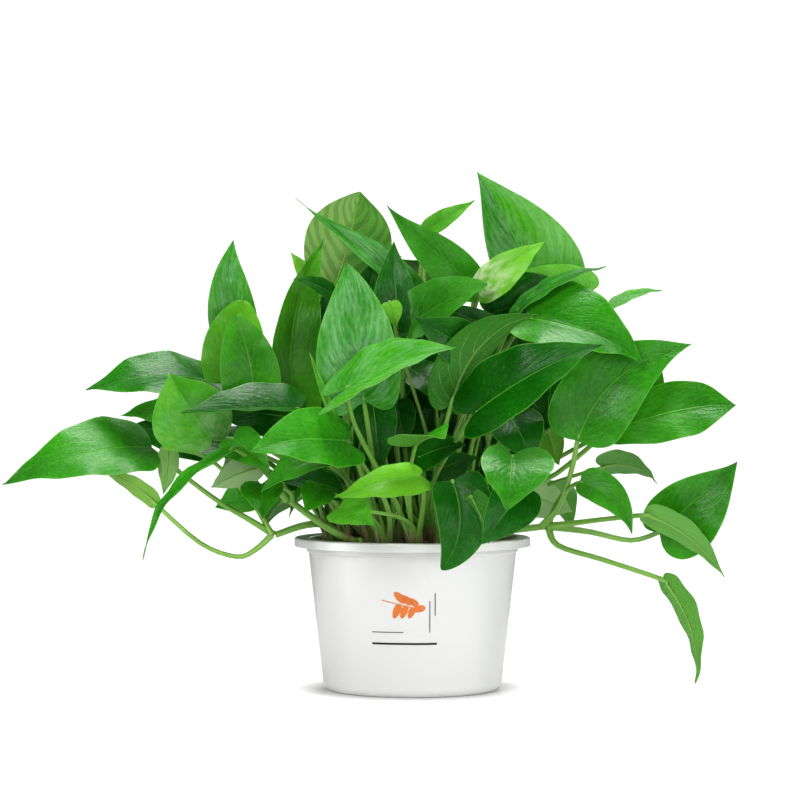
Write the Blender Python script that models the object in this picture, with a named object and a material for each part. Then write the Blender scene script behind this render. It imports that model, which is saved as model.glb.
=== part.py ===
"""Potted pothos plant: a moulded plastic pot, the soil in it and the leafy stems that stand in the soil.

Metres, +Z up. The origin is the centre of the pot's flat base, and the best side faces -Y.
"""
import math
import random
from typing import NamedTuple

import bmesh
import bpy
from mathutils import Quaternion, Vector

MM = 0.001

# Pot: a turned shell with a flat base and a rim whose skirt hangs free of the wall.
POT_HEIGHT = 116 * MM
POT_WALL = 2.0 * MM
BASE_RADIUS = 67.5 * MM
NECK_RADIUS = 80.5 * MM
RIM_RADIUS = 90 * MM
SKIRT_HEIGHT = 6.5 * MM
STEP_DROP = 10.5 * MM
STEP_DEPTH = 0.6 * MM
CORNER = 7 * MM
RIM_ROUND = 1.2 * MM
POT_SEGMENTS = 36

# Soil: fills the pot to just under its rim.
FIT_GAP = 0.3 * MM
SOIL_TOP = 109 * MM
SOIL_SWELL = 2.5 * MM
SOIL_LUMP = 0.9 * MM
SOIL_SEGMENTS = 24
SOIL_RINGS = 3

# Leafy stems.
STEM_RADIUS = 4.6 * MM
STEM_DEPTH = 40 * MM
STEM_RISE = 7 * MM
STEM_SIDES = 6
PETIOLE_RADIUS = 2.1 * MM
BRANCH_RADIUS = 3.4 * MM
PETIOLE_STEPS = 4
SHORT_PETIOLE = 110 * MM
PETIOLE_LEAN = 0.35
PETIOLE_REACH_OUT = 0.36
PETIOLE_REACH_IN = 0.29
PETIOLE_TAPER = 0.35
PETIOLE_SUNK = 0.5 * MM
BLADE = 0.8 * MM
RIB_REACH = 0.07
CROWN_SPREAD = 2.6 * MM
CROWN_TURN = 48

# Half of a blade's outline, from the notch at the petiole to the tip: the share of the midrib that
# the row starts from, the margin's place along the blade, and the margin's share of the half width.
BLADE_ROWS = (
    (0.015, -0.060, 0.50),
    (0.08, 0.08, 0.91),
    (0.24, 0.32, 1.00),
    (0.50, 0.61, 0.70),
    (0.77, 0.85, 0.25),
)
SHORT_ROWS = (
    (0.015, -0.060, 0.50),
    (0.12, 0.16, 0.98),
    (0.37, 0.47, 0.86),
    (0.72, 0.80, 0.35),
)
SHORT_BLADE = 62 * MM
MARGIN_WAVE = 0.014
WAVE_TURNS = 3.3
WAVE_SHIFT = 0.13
WAVE_STEP = 1.7
CUP = 0.13

# Leaves of the far side follow a rule, with a seeded draw for their scatter. Each tier gives the reach
# and height of the blades' bases and tips, and half their width, in millimetres.
SEED = 5
BACK_STEMS = 5
BACK_FIRST, BACK_LAST = 42, 146
BACK_ROOT = 50
BACK_STAGGER = 20
BACK_SWING = 8
BACK_TIERS = (
    ((98, 152), (162, 112), 34),
    ((92, 206), (162, 166), 35),
    ((66, 262), (138, 226), 33),
    ((42, 308), (106, 280), 29),
)


class Leaf(NamedTuple):
    """One leaf, in millimetres and degrees.

    face is the bearing that the upper side looks to (0 is the front, 90 the right) and its rise.
    arch lifts and sickle swings the midrib, as shares of the length; fold closes the halves.
    via lists the points that the petiole passes on its way from the soil.
    """
    base: tuple
    tip: tuple
    left: float
    right: float
    face: tuple = (0, 30)
    arch: float = 0.08
    sickle: float = 0.0
    fold: float = 15
    twist: float = 0
    via: tuple = ()


class Stem(NamedTuple):
    """A leafy stem, in millimetres: where it stands in the soil, its leaves, and the points of the
    branch that it sends out before they part, if any."""
    name: str
    root: tuple
    colour: tuple
    leaves: tuple
    branch: tuple = ()


DEEP = (0.020, 0.110, 0.016, 1)
FRESH = (0.060, 0.250, 0.030, 1)
SOFT = (0.110, 0.330, 0.075, 1)
PALE = (0.260, 0.400, 0.150, 1)

LEFT_RUNNER = ((-64, -42, 127), (-80, -52, 128), (-102, -57, 121))
LEFT_ARM = ((-56, -56, 122), (-74, -64, 134), (-91, -68, 147))
RIGHT_RUNNER = ((66, -40, 122), (99, -50, 127))

STEMS = (
    Stem("stem_left_runner", (-50, -30), SOFT, (
        Leaf((-197, -25, 185), (-304, -70, 159), 27, 32, (0, 40), arch=0.12, fold=8,
             via=((-121, -56, 132), (-144, -50, 145), (-167, -40, 161))),
        Leaf((-191, -50, 144), (-236, -60, 171), 8, 9, (180, 40), arch=0.10,
             via=((-117, -60, 110), (-131, -62, 105), (-158, -60, 115))),
        Leaf((-184, -34, 184), (-187, -44, 150), 9, 9, (160, 10),
             via=((-124, -46, 150), (-155, -38, 178))),
    ), branch=LEFT_RUNNER),
    Stem("stem_left_arm", (-40, -46), FRESH, (
        Leaf((-113, -76, 172), (-148, -98, 158), 13, 13, (170, 25), fold=20),
        Leaf((-129, -95, 187), (-195, -120, 106), 10, 10, (-48, 38), arch=0.15,
             via=((-108, -80, 168),)),
        Leaf((-116, -32, 152), (-149, -30, 140), 14, 14, (0, 20)),
        Leaf((-111, -84, 160), (-109, -112, 136), 16, 16, (0, 30)),
    ), branch=LEFT_ARM),
    Stem("stem_left_fan", (-60, 4), FRESH, (
        Leaf((-150, 2, 188), (-221, 18, 199), 22, 20, (0, 30)),
        Leaf((-162, 16, 205), (-226, 28, 208), 18, 20, (0, 50)),
        Leaf((-142, 0, 231), (-246, -30, 228), 24, 24, (0, 50), arch=0.12, fold=10),
    )),
    Stem("stem_left_tall", (-46, -8), SOFT, (
        Leaf((-133, -28, 237), (-128, -15, 297), 27, 22, (-10, 5), arch=0.06, fold=20),
        Leaf((-135, 8, 262), (-137, 8, 343), 19, 20, (0, 0)),
    )),
    Stem("stem_left_mid", (-30, -30), DEEP, (
        Leaf((-149, -60, 192), (-179, -75, 242), 28, 26, (-20, 20), arch=0.10,
             via=((-74, -38, 160), (-116, -48, 188))),
        Leaf((-116, -40, 187), (-181, -68, 196), 20, 20, (0, 65)),
        Leaf((-83, -75, 215), (-169, -105, 212), 22, 25, (0, 62), arch=0.03, fold=30),
        Leaf((-84, -45, 207), (-153, -64, 211), 21, 17, (0, 20)),
        Leaf((-118, -56, 221), (-132, -54, 285), 24, 21, (0, 5), sickle=0.06),
    )),
    Stem("stem_front_heart", (-20, -54), FRESH, (
        Leaf((-46, -85, 183), (-111, -112, 156), 20, 26, (0, 60), fold=25),
        Leaf((-49, -105, 192), (-116, -160, 185), 27, 27, (0, 28), fold=10),
        Leaf((-54, -60, 154), (-99, -80, 161), 18, 18, (0, 50)),
        Leaf((-67, -85, 157), (-79, -105, 140), 13, 13, (0, 20)),
        Leaf((-57, -88, 205), (-76, -92, 257), 5, 5, (0, 0), arch=0.10),
    )),
    Stem("stem_centre_silver", (-12, -32), SOFT, (
        Leaf((-36, -90, 220), (-49, -80, 322), 33, 30, (-5, 10), arch=0.05, fold=12),
        Leaf((-30, -60, 221), (-22, -60, 169), 17, 17, (0, 0)),
        Leaf((-12, -42, 219), (-6, -48, 184), 13, 13, (0, 0)),
    )),
    Stem("stem_centre_streaked", (2, -56), SOFT, (
        Leaf((-49, -118, 230), (30, -150, 260), 26, 24, (0, 50), fold=18),
        Leaf((1, -115, 189), (23, -150, 195), 24, 26, (0, 70), fold=25),
        Leaf((5, -112, 167), (-57, -138, 152), 20, 13, (0, 40), fold=22),
        Leaf((-53, -110, 144), (-28, -135, 132), 16, 16, (0, 30)),
    )),
    Stem("stem_tall_dark", (-30, -8), DEEP, (
        Leaf((-88, -30, 213), (-67, -10, 344), 17, 24, (20, 0), sickle=-0.13, fold=25),
        Leaf((-58, -45, 299), (-89, -62, 311), 9, 9, (0, 35)),
    )),
    Stem("stem_top_left", (-14, 10), PALE, (
        Leaf((-60, 6, 305), (-40, 4, 380), 33, 27, (180, 5)),
        Leaf((5, -18, 298), (-89, -28, 374), 10, 16, (-20, 30), arch=0.10, fold=20),
        Leaf((-11, -38, 273), (-14, -28, 340), 21, 18, (0, 0)),
        Leaf((-70, 24, 302), (-94, 28, 335), 9, 9, (0, 20)),
    )),
    Stem("stem_top_mid", (8, 8), FRESH, (
        Leaf((47, -25, 305), (-21, -20, 370), 19, 19, (0, 0)),
        Leaf((10, 18, 350), (48, 14, 374), 8, 8, (0, 20)),
    )),
    Stem("stem_top_right", (28, 6), FRESH, (
        Leaf((104, 10, 297), (49, 0, 395), 28, 40, (-10, 10), fold=18),
        Leaf((50, -55, 306), (98, -62, 339), 11, 20, (0, 30)),
        Leaf((137, -5, 304), (75, -15, 318), 15, 15, (0, 10)),
    )),
    Stem("stem_right_upper", (12, -18), FRESH, (
        Leaf((-2, -54, 277), (55, -79, 307), 22, 14, (0, 20)),
        Leaf((64, -58, 272), (14, -70, 295), 20, 10, (0, 10), via=((30, -46, 190), (52, -62, 246))),
        Leaf((42, -62, 258), (1, -80, 282), 18, 18, (0, 10)),
        Leaf((-17, -66, 293), (-12, -66, 275), 8, 8, (0, 20)),
    )),
    Stem("stem_right_bright", (32, -14), FRESH, (
        Leaf((84, -75, 282), (167, -110, 249), 38, 28, (0, 40), fold=18),
        Leaf((76, -62, 287), (143, -72, 320), 14, 14, (0, 70)),
        Leaf((58, -35, 285), (125, -45, 305), 26, 20, (0, 10)),
    )),
    Stem("stem_right_back", (46, 6), FRESH, (
        Leaf((149, 0, 291), (190, -10, 304), 10, 10, (0, 60)),
        Leaf((164, -45, 214), (180, -35, 266), 20, 20, (0, 10)),
    )),
    Stem("stem_right_dark", (16, -40), DEEP, (
        Leaf((44, -110, 212), (136, -130, 262), 30, 26, (0, 35)),
        Leaf((28, -95, 218), (92, -100, 284), 14, 24, (180, -10), sickle=0.15, fold=25),
        Leaf((9, -64, 169), (48, -84, 180), 18, 18, (0, -20)),
        Leaf((4, -78, 179), (39, -98, 189), 16, 16, (0, 30)),
    )),
    Stem("stem_front_rim", (22, -58), DEEP, (
        Leaf((28, -120, 164), (20, -132, 100), 24, 18, (5, 5), sickle=-0.12),
        Leaf((42, -130, 153), (54, -139, 119), 11, 11, (150, 0)),
    )),
    Stem("stem_front_right", (38, -44), FRESH, (
        Leaf((79, -120, 158), (49, -140, 119), 20, 18, (20, 20)),
        Leaf((71, -135, 183), (65, -170, 144), 31, 22, (0, 35)),
        Leaf((72, -100, 209), (86, -120, 175), 20, 20, (0, 30)),
    )),
    Stem("stem_right_runner", (52, -28), SOFT, (
        Leaf((120, -95, 192), (205, -85, 263), 30, 30, (0, 15), sickle=-0.145,
             via=((109, -66, 144), (117, -84, 172))),
        Leaf((183, -60, 123), (240, -70, 176), 22, 33, (0, 15),
             via=((132, -55, 123), (162, -60, 117))),
        Leaf((170, -85, 138), (226, -110, 93), 11, 12, (180, 35), arch=0.18,
             via=((121, -60, 130), (140, -70, 133))),
        Leaf((186, -60, 89), (209, -75, 12), 16, 16, (120, 20), arch=0.12,
             via=((108, -56, 113), (140, -60, 103))),
        Leaf((122, -95, 162), (159, -110, 124), 15, 11, (0, 20), sickle=-0.10),
    ), branch=RIGHT_RUNNER),
    Stem("stem_right_low", (62, -10), PALE, (
        Leaf((141, -60, 196), (238, -78, 218), 26, 24, (0, 30), via=((78, -32, 150), (107, -50, 166))),
        Leaf((88, -34, 150), (120, -36, 137), 15, 15, (180, 0)),
        Leaf((102, -30, 198), (110, -40, 172), 10, 10, (180, 0)),
        Leaf((140, -60, 172), (180, -80, 160), 15, 15, (150, 50), arch=0.20),
    )),
)


def clear_scene():
    """Removes whatever the scene holds."""
    for old in list(bpy.data.objects):
        bpy.data.objects.remove(old, do_unlink=True)


def finish(name, colour, roughness):
    """A plain material for one sub-part."""
    material = bpy.data.materials.new(name)
    material.use_nodes = True
    shader = material.node_tree.nodes["Principled BSDF"]
    shader.inputs["Base Color"].default_value = colour
    shader.inputs["Roughness"].default_value = roughness
    shader.inputs["Metallic"].default_value = 0.0
    return material


def add_object(name, mesh, material):
    """Puts a mesh in the scene as a named object with its material."""
    mesh.materials.append(material)
    placed = bpy.data.objects.new(name, mesh)
    bpy.context.scene.collection.objects.link(placed)
    return placed


def mesh_from(name, bm):
    """Turns a bmesh into a mesh with its faces pointing out."""
    bmesh.ops.recalc_face_normals(bm, faces=bm.faces)
    mesh = bpy.data.meshes.new(name)
    bm.to_mesh(mesh)
    bm.free()
    return mesh


def arc(centre, radius, start, stop, steps):
    """Points of an arc in the (radius, height) plane, angles in degrees."""
    angles = (math.radians(start + (stop - start) * step / steps) for step in range(steps + 1))
    return [(centre[0] + radius * math.cos(a), centre[1] + radius * math.sin(a)) for a in angles]


def turned(name, profile, segments):
    """A closed solid of revolution from a profile that starts and ends on the axis."""
    bm = bmesh.new()
    points = [bm.verts.new((radius, 0, height)) for radius, height in profile]
    edges = [bm.edges.new(pair) for pair in zip(points, points[1:])]
    bmesh.ops.spin(bm, geom=points + edges, axis=(0, 0, 1), cent=(0, 0, 0),
                   angle=math.tau, steps=segments, use_merge=True)
    bmesh.ops.remove_doubles(bm, verts=bm.verts, dist=0.00001)
    return mesh_from(name, bm)


def wall_radius(height):
    """The outer wall's radius at a height, under the rim."""
    return BASE_RADIUS + (NECK_RADIUS - BASE_RADIUS) * height / POT_HEIGHT


def build_pot():
    """The pot: outer wall, step, rim with its hanging skirt, then the inside down to the floor."""
    step = POT_HEIGHT - STEP_DROP
    under_rim = POT_HEIGHT - POT_WALL
    skirt = RIM_RADIUS - POT_WALL
    corner = wall_radius(CORNER) - CORNER
    profile = [(0, 0)]
    profile += arc((corner, CORNER), CORNER, -90, 0, 4)
    profile += [(wall_radius(step), step), (NECK_RADIUS + STEP_DEPTH, step + STEP_DEPTH)]
    profile += [(NECK_RADIUS + STEP_DEPTH, under_rim), (skirt, under_rim)]
    profile += [(skirt, POT_HEIGHT - SKIRT_HEIGHT), (RIM_RADIUS, POT_HEIGHT - SKIRT_HEIGHT)]
    profile += arc((RIM_RADIUS - RIM_ROUND, POT_HEIGHT - RIM_ROUND), RIM_ROUND, 0, 90, 2)
    profile += arc((NECK_RADIUS, under_rim), POT_WALL, 90, 180, 2)
    profile += arc((corner, CORNER), CORNER - POT_WALL, 0, -90, 2)
    profile += [(0, POT_WALL)]
    mesh = turned("pot", profile, POT_SEGMENTS)
    mesh.shade_smooth()
    mesh.set_sharp_from_angle(angle=math.radians(35))
    add_object("pot", mesh, finish("pot_plastic", (0.80, 0.80, 0.82, 1), 0.35))


def build_soil():
    """A plug that fits the pot with a small gap all round and has a lumpy top."""
    rng = random.Random(SEED)
    floor = POT_WALL + FIT_GAP
    corner_top = CORNER + FIT_GAP
    inner = wall_radius(CORNER) - POT_WALL - FIT_GAP
    shoulder = wall_radius(SOIL_TOP) - POT_WALL - FIT_GAP * 2
    profile = [(0, floor), (inner - CORNER, floor), (inner - FIT_GAP, corner_top), (shoulder, SOIL_TOP)]
    for ring in range(SOIL_RINGS - 1, -1, -1):
        reach = ring / SOIL_RINGS
        profile.append((shoulder * reach, SOIL_TOP + SOIL_SWELL * (1 - reach * reach)))
    mesh = turned("soil", profile, SOIL_SEGMENTS)
    for vertex in mesh.vertices:
        if vertex.co.z > SOIL_TOP + FIT_GAP:
            vertex.co.z += rng.uniform(-SOIL_LUMP, SOIL_LUMP)
    return add_object("soil", mesh, finish("potting_soil", (0.045, 0.022, 0.010, 1), 0.95))


class BladeShape:
    """The curved surface of one blade, in metres."""

    def __init__(self, leaf, phase):
        self.leaf = leaf
        self.phase = phase
        self.base = Vector(leaf.base) * MM
        self.tip = Vector(leaf.tip) * MM
        chord = self.tip - self.base
        self.length = chord.length
        along = chord.normalized()
        bearing, rise = (math.radians(angle) for angle in leaf.face)
        toward = Vector((math.sin(bearing) * math.cos(rise), -math.cos(bearing) * math.cos(rise),
                         math.sin(rise)))
        self.normal = (toward - along * toward.dot(along)).normalized()
        side = along.cross(self.normal)
        middle = (self.base + self.tip) / 2
        self.control = middle + (self.normal * leaf.arch + side * leaf.sickle) * 2 * self.length

    def rib(self, share):
        """A point on the midrib, with its direction, the upper side's normal and the right side."""
        rest = 1 - share
        point = self.base * rest ** 2 + self.control * 2 * share * rest + self.tip * share ** 2
        slope = (self.control - self.base) * rest + (self.tip - self.control) * share
        along = slope.normalized()
        up = (self.normal - along * self.normal.dot(along)).normalized()
        up.rotate(Quaternion(along, math.radians(self.leaf.twist) * share))
        return point, along, up, along.cross(up)

    def point(self, row, side, reach):
        """A point of the blade: side is -1 left or 1 right, reach runs from midrib to margin."""
        share, place, spread = row
        origin, along, up, across = self.rib(share)
        half = (self.leaf.right if side > 0 else self.leaf.left) * MM * spread
        fold = math.radians(self.leaf.fold)
        out = reach * half
        wave = math.sin(math.tau * WAVE_TURNS * (place + WAVE_SHIFT * side) + self.phase)
        curl = MARGIN_WAVE * self.length * wave - CUP * half
        lift = out * math.sin(fold) + curl * reach ** 2
        return (origin + along * (place - share) * reach * self.length
                + across * side * out * math.cos(fold) + up * lift)


def blade_mesh(name, shape):
    """A thin closed blade: a three-column sheet split into triangles, then given its thickness."""
    bm = bmesh.new()
    base = bm.verts.new(shape.rib(0)[0])
    tip = bm.verts.new(shape.rib(1)[0])
    outline = SHORT_ROWS if shape.length < SHORT_BLADE else BLADE_ROWS
    rows = [[bm.verts.new(shape.point(row, side, abs(side))) for side in (-1, 0, 1)] for row in outline]
    for near, far in zip(rows, rows[1:]):
        bm.faces.new((near[0], near[1], far[0]))
        bm.faces.new((near[1], far[1], far[0]))
        bm.faces.new((near[1], near[2], far[1]))
        bm.faces.new((near[2], far[2], far[1]))
    for column in (0, 1):
        bm.faces.new((rows[0][column + 1], rows[0][column], base))
        bm.faces.new((rows[-1][column], rows[-1][column + 1], tip))
    bmesh.ops.recalc_face_normals(bm, faces=bm.faces)
    bmesh.ops.solidify(bm, geom=bm.faces[:], thickness=BLADE)
    return mesh_from(name, bm)


def petiole_route(crown, shape, turn):
    """Points and thickness from the stem's crown to the blade, running on under its midrib.

    turn swings the start round the crown, so that petioles leave it side by side.
    """
    leaf = shape.leaf
    outward = (shape.base - crown) * Vector((1, 1, 0))
    outward.rotate(Quaternion((0, 0, 1), math.radians(turn)))
    outward.normalize()
    start = crown + outward * CROWN_SPREAD
    reach = (shape.base - start).length
    if leaf.via:
        stops = [start] + [Vector(point) * MM for point in leaf.via] + [shape.base]
        route = stops[:-1]
    else:
        arrive = (shape.base - start).normalized() * 3 + (shape.tip - shape.base).normalized()
        bend_out = start + (Vector((0, 0, 1)) + outward * PETIOLE_LEAN) * reach * PETIOLE_REACH_OUT
        bend_in = shape.base - arrive.normalized() * reach * PETIOLE_REACH_IN
        route = []
        steps = PETIOLE_STEPS if reach > SHORT_PETIOLE else PETIOLE_STEPS - 1
        for step in range(steps):
            t = step / steps
            r = 1 - t
            route.append(start * r ** 3 + bend_out * 3 * r * r * t + bend_in * 3 * r * t * t
                         + shape.base * t ** 3)
    for share in (0.0, RIB_REACH):
        point, _, up, _ = shape.rib(share)
        route.append(point - up * PETIOLE_SUNK)
    last = len(route) - 2
    taper = [1 - PETIOLE_TAPER * index / last for index in range(last + 1)] + [PETIOLE_TAPER]
    return route, taper


def petiole_mesh(name, route, taper, radius):
    """A four-sided rod along the route, its ends closed."""
    curve = bpy.data.curves.new(name, "CURVE")
    curve.dimensions = "3D"
    curve.bevel_depth = radius
    curve.bevel_resolution = 0
    curve.use_fill_caps = True
    spline = curve.splines.new("POLY")
    spline.points.add(len(route) - 1)
    for knot, point, scale in zip(spline.points, route, taper):
        knot.co = (*point, 1)
        knot.radius = scale
    guide = bpy.data.objects.new(name, curve)
    mesh = bpy.data.meshes.new_from_object(guide)
    bpy.data.objects.remove(guide, do_unlink=True)
    bpy.data.curves.remove(curve)
    bm = bmesh.new()
    bm.from_mesh(mesh)
    bmesh.ops.remove_doubles(bm, verts=bm.verts, dist=0.00001)
    return mesh_from(name, bm)


def stem_core(name, root, radius, gap=0.0):
    """The upright part of a stem, from its foot in the soil to its crown."""
    bm = bmesh.new()
    height = STEM_DEPTH + STEM_RISE + gap
    bmesh.ops.create_cone(bm, cap_ends=True, segments=STEM_SIDES, radius1=radius + gap,
                          radius2=radius * 0.85 + gap, depth=height)
    middle = SOIL_TOP + SOIL_SWELL + STEM_RISE - height / 2
    bmesh.ops.translate(bm, vec=(root[0] * MM, root[1] * MM, middle), verts=bm.verts)
    return mesh_from(name, bm)


def combine(body, meshes, operation, solver):
    """Joins meshes to a body, or cuts them out of it, by one Boolean on a collection, and applies it."""
    group = bpy.data.collections.new(body.name + "_tools")
    bpy.context.scene.collection.children.link(group)
    for number, mesh in enumerate(meshes):
        tool = bpy.data.objects.new(f"{body.name}_tool_{number}", mesh)
        tool.hide_render = True
        tool.display_type = "WIRE"
        group.objects.link(tool)
    boolean = body.modifiers.new(operation.lower(), "BOOLEAN")
    boolean.operation = operation
    boolean.operand_type = "COLLECTION"
    boolean.collection = group
    boolean.solver = solver
    graph = bpy.context.evaluated_depsgraph_get()
    body.data = bpy.data.meshes.new_from_object(body.evaluated_get(graph))
    body.modifiers.clear()
    for tool in list(group.objects):
        bpy.data.objects.remove(tool, do_unlink=True)
    bpy.data.collections.remove(group)


def build_stem(stem):
    """One leafy stem: its foot, its branch if it has one, and its petioles and blades in one body."""
    material = finish(stem.name + "_leaf", stem.colour, 0.32)
    body = add_object(stem.name, stem_core(stem.name, stem.root, STEM_RADIUS), material)
    crown = Vector((stem.root[0] * MM, stem.root[1] * MM, SOIL_TOP + SOIL_SWELL + STEM_RISE / 2))
    pieces = []
    if stem.branch:
        route = [crown] + [Vector(point) * MM for point in stem.branch]
        pieces.append(petiole_mesh("branch", route, [1] * len(route), BRANCH_RADIUS))
        crown = route[-1]
    for number, leaf in enumerate(stem.leaves):
        shape = BladeShape(leaf, WAVE_STEP * number)
        turn = CROWN_TURN * (number - (len(stem.leaves) - 1) / 2)
        route, taper = petiole_route(crown, shape, turn)
        pieces.append(blade_mesh(f"blade_{number}", shape))
        pieces.append(petiole_mesh(f"petiole_{number}", route, taper, PETIOLE_RADIUS))
    combine(body, pieces, "UNION", "MANIFOLD")


def back_stems():
    """The far side's stems: one to a bearing, each with leaves in tiers that droop outward."""
    rng = random.Random(SEED)
    stems = []
    for index in range(BACK_STEMS):
        bearing = BACK_FIRST + (BACK_LAST - BACK_FIRST) * index / (BACK_STEMS - 1)
        raised = BACK_STAGGER * (index % 2)
        tiers = BACK_TIERS if 0 < index < BACK_STEMS - 1 else BACK_TIERS[:-1]
        leaves = []
        for tier, ((near, height), (far, drop), half) in enumerate(tiers):
            turn = bearing + BACK_SWING * (1 if tier % 2 else -1) + rng.uniform(-3, 3)
            base = (*polar(turn, near), height + raised)
            tip = (*polar(turn + rng.uniform(-6, 6), far), drop + raised + rng.uniform(-8, 8))
            leaves.append(Leaf(base, tip, half, half, (90 + turn + rng.uniform(-12, 12), 38),
                               arch=0.14, fold=rng.uniform(8, 20)))
        stems.append(Stem(f"stem_back_{index + 1}", polar(bearing, BACK_ROOT), FRESH, tuple(leaves)))
    return stems


def polar(bearing, reach):
    """A place in plan: 0 is the right, 90 the far side."""
    angle = math.radians(bearing)
    return (reach * math.cos(angle), reach * math.sin(angle))


def cut_stem_holes(soil, stems):
    """One plain blind hole in the soil for each stem, a little wider than the stem."""
    feet = [stem_core("hole", stem.root, STEM_RADIUS, FIT_GAP) for stem in stems]
    combine(soil, feet, "DIFFERENCE", "EXACT")


def main():
    """Builds the pot, the soil with its holes, and every leafy stem."""
    clear_scene()
    build_pot()
    stems = list(STEMS) + back_stems()
    cut_stem_holes(build_soil(), stems)
    for stem in stems:
        build_stem(stem)


main()
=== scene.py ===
"""Potted pothos plant: the dressed pot, soil and leafy stems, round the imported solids.

Metres, +Z up. The origin is the centre of the pot's flat base, and the best side faces -Y.
"""
import logging
import math
import random
from dataclasses import dataclass
from enum import Enum
from typing import Any, Callable, Sequence

import bmesh
import bpy
from mathutils import Matrix, Quaternion, Vector, noise


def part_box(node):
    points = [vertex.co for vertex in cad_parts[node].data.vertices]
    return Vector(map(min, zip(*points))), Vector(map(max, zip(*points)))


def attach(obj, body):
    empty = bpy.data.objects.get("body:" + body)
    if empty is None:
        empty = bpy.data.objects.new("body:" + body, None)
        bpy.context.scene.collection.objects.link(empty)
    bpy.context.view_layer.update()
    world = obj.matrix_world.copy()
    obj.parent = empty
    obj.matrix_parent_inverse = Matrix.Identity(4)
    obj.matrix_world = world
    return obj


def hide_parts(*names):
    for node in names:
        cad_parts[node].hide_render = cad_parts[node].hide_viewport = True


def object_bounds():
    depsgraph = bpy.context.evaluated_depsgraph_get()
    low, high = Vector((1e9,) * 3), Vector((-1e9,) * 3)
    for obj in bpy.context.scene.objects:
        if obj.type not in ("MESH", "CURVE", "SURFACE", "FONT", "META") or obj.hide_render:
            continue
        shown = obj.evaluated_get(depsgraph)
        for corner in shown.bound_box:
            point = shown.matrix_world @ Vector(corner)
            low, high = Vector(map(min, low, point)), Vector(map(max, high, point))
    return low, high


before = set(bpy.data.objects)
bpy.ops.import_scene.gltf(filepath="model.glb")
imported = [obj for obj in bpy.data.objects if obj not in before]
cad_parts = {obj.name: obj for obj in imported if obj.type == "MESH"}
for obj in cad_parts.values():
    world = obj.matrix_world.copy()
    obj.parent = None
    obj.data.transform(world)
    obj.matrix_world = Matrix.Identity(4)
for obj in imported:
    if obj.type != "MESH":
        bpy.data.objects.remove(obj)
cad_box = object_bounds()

MM = 0.001
SEED = 5
BODY = "root"
# Points closer than this are joined.
MERGE = 0.01 * MM
# The pot's outer wall: its radius at the foot, and how much wider it gets with height.
BASE_WALL = 67.5 * MM
WALL_SLOPE = (80.5 - 67.5) / 116
UP = Vector((0, 0, 1))
LOG = logging.getLogger("pothos")

Pair = tuple[float, float]
Triple = tuple[float, float, float]
Colour = tuple[float, float, float, float]
Material = bpy.types.Material


class Slot(Enum):
    """The record's material slots."""
    POT = "pot_plastic"
    SOIL = "potting_soil"
    DEEP = "leaf_deep"
    FRESH = "leaf_fresh"


# ---------------------------------------------------------------- shader graphs


def operator(operation: str, swapped: bool = False) -> Callable[["Wire", Any], "Wire"]:
    """Gives a method of Wire that adds one Math node, with its two values swapped if need be."""
    def method(self: "Wire", other: Any) -> "Wire":
        """The Math node's result."""
        return self.math(operation, *((other, self) if swapped else (self, other)))
    return method


@dataclass(frozen=True)
class Wire:
    """A socket that takes part in arithmetic: each operation adds its Math node to the board."""
    board: "Board"
    socket: bpy.types.NodeSocket

    __add__, __radd__ = operator("ADD"), operator("ADD", swapped=True)
    __sub__, __rsub__ = operator("SUBTRACT"), operator("SUBTRACT", swapped=True)
    __mul__, __rmul__ = operator("MULTIPLY"), operator("MULTIPLY", swapped=True)
    __pow__ = operator("POWER")

    def math(self, operation: str, *values: Any) -> "Wire":
        """One Math node on the values, in their order."""
        return self.board.node("ShaderNodeMath", {"operation": operation}, dict(enumerate(values)))

    def __abs__(self) -> "Wire":
        """The size of self."""
        return self.math("ABSOLUTE", self)

    def sway(self, size: Any) -> "Wire":
        """A value that runs from 0 to 1, centred on 0 and given that range."""
        return (self - 0.5) * size

    def tooth(self) -> "Wire":
        """A wave that is 0 at whole numbers and 1 half way between them."""
        return self.math("PINGPONG", self, 0.5) * 2

    def step(self, low: Any, high: Any) -> "Wire":
        """A smooth rise from 0 at low to 1 at high."""
        return self.board.node("ShaderNodeMapRange", {"interpolation_type": "SMOOTHSTEP"},
                               {"Value": self, "From Min": low, "From Max": high}, "Result")


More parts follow.
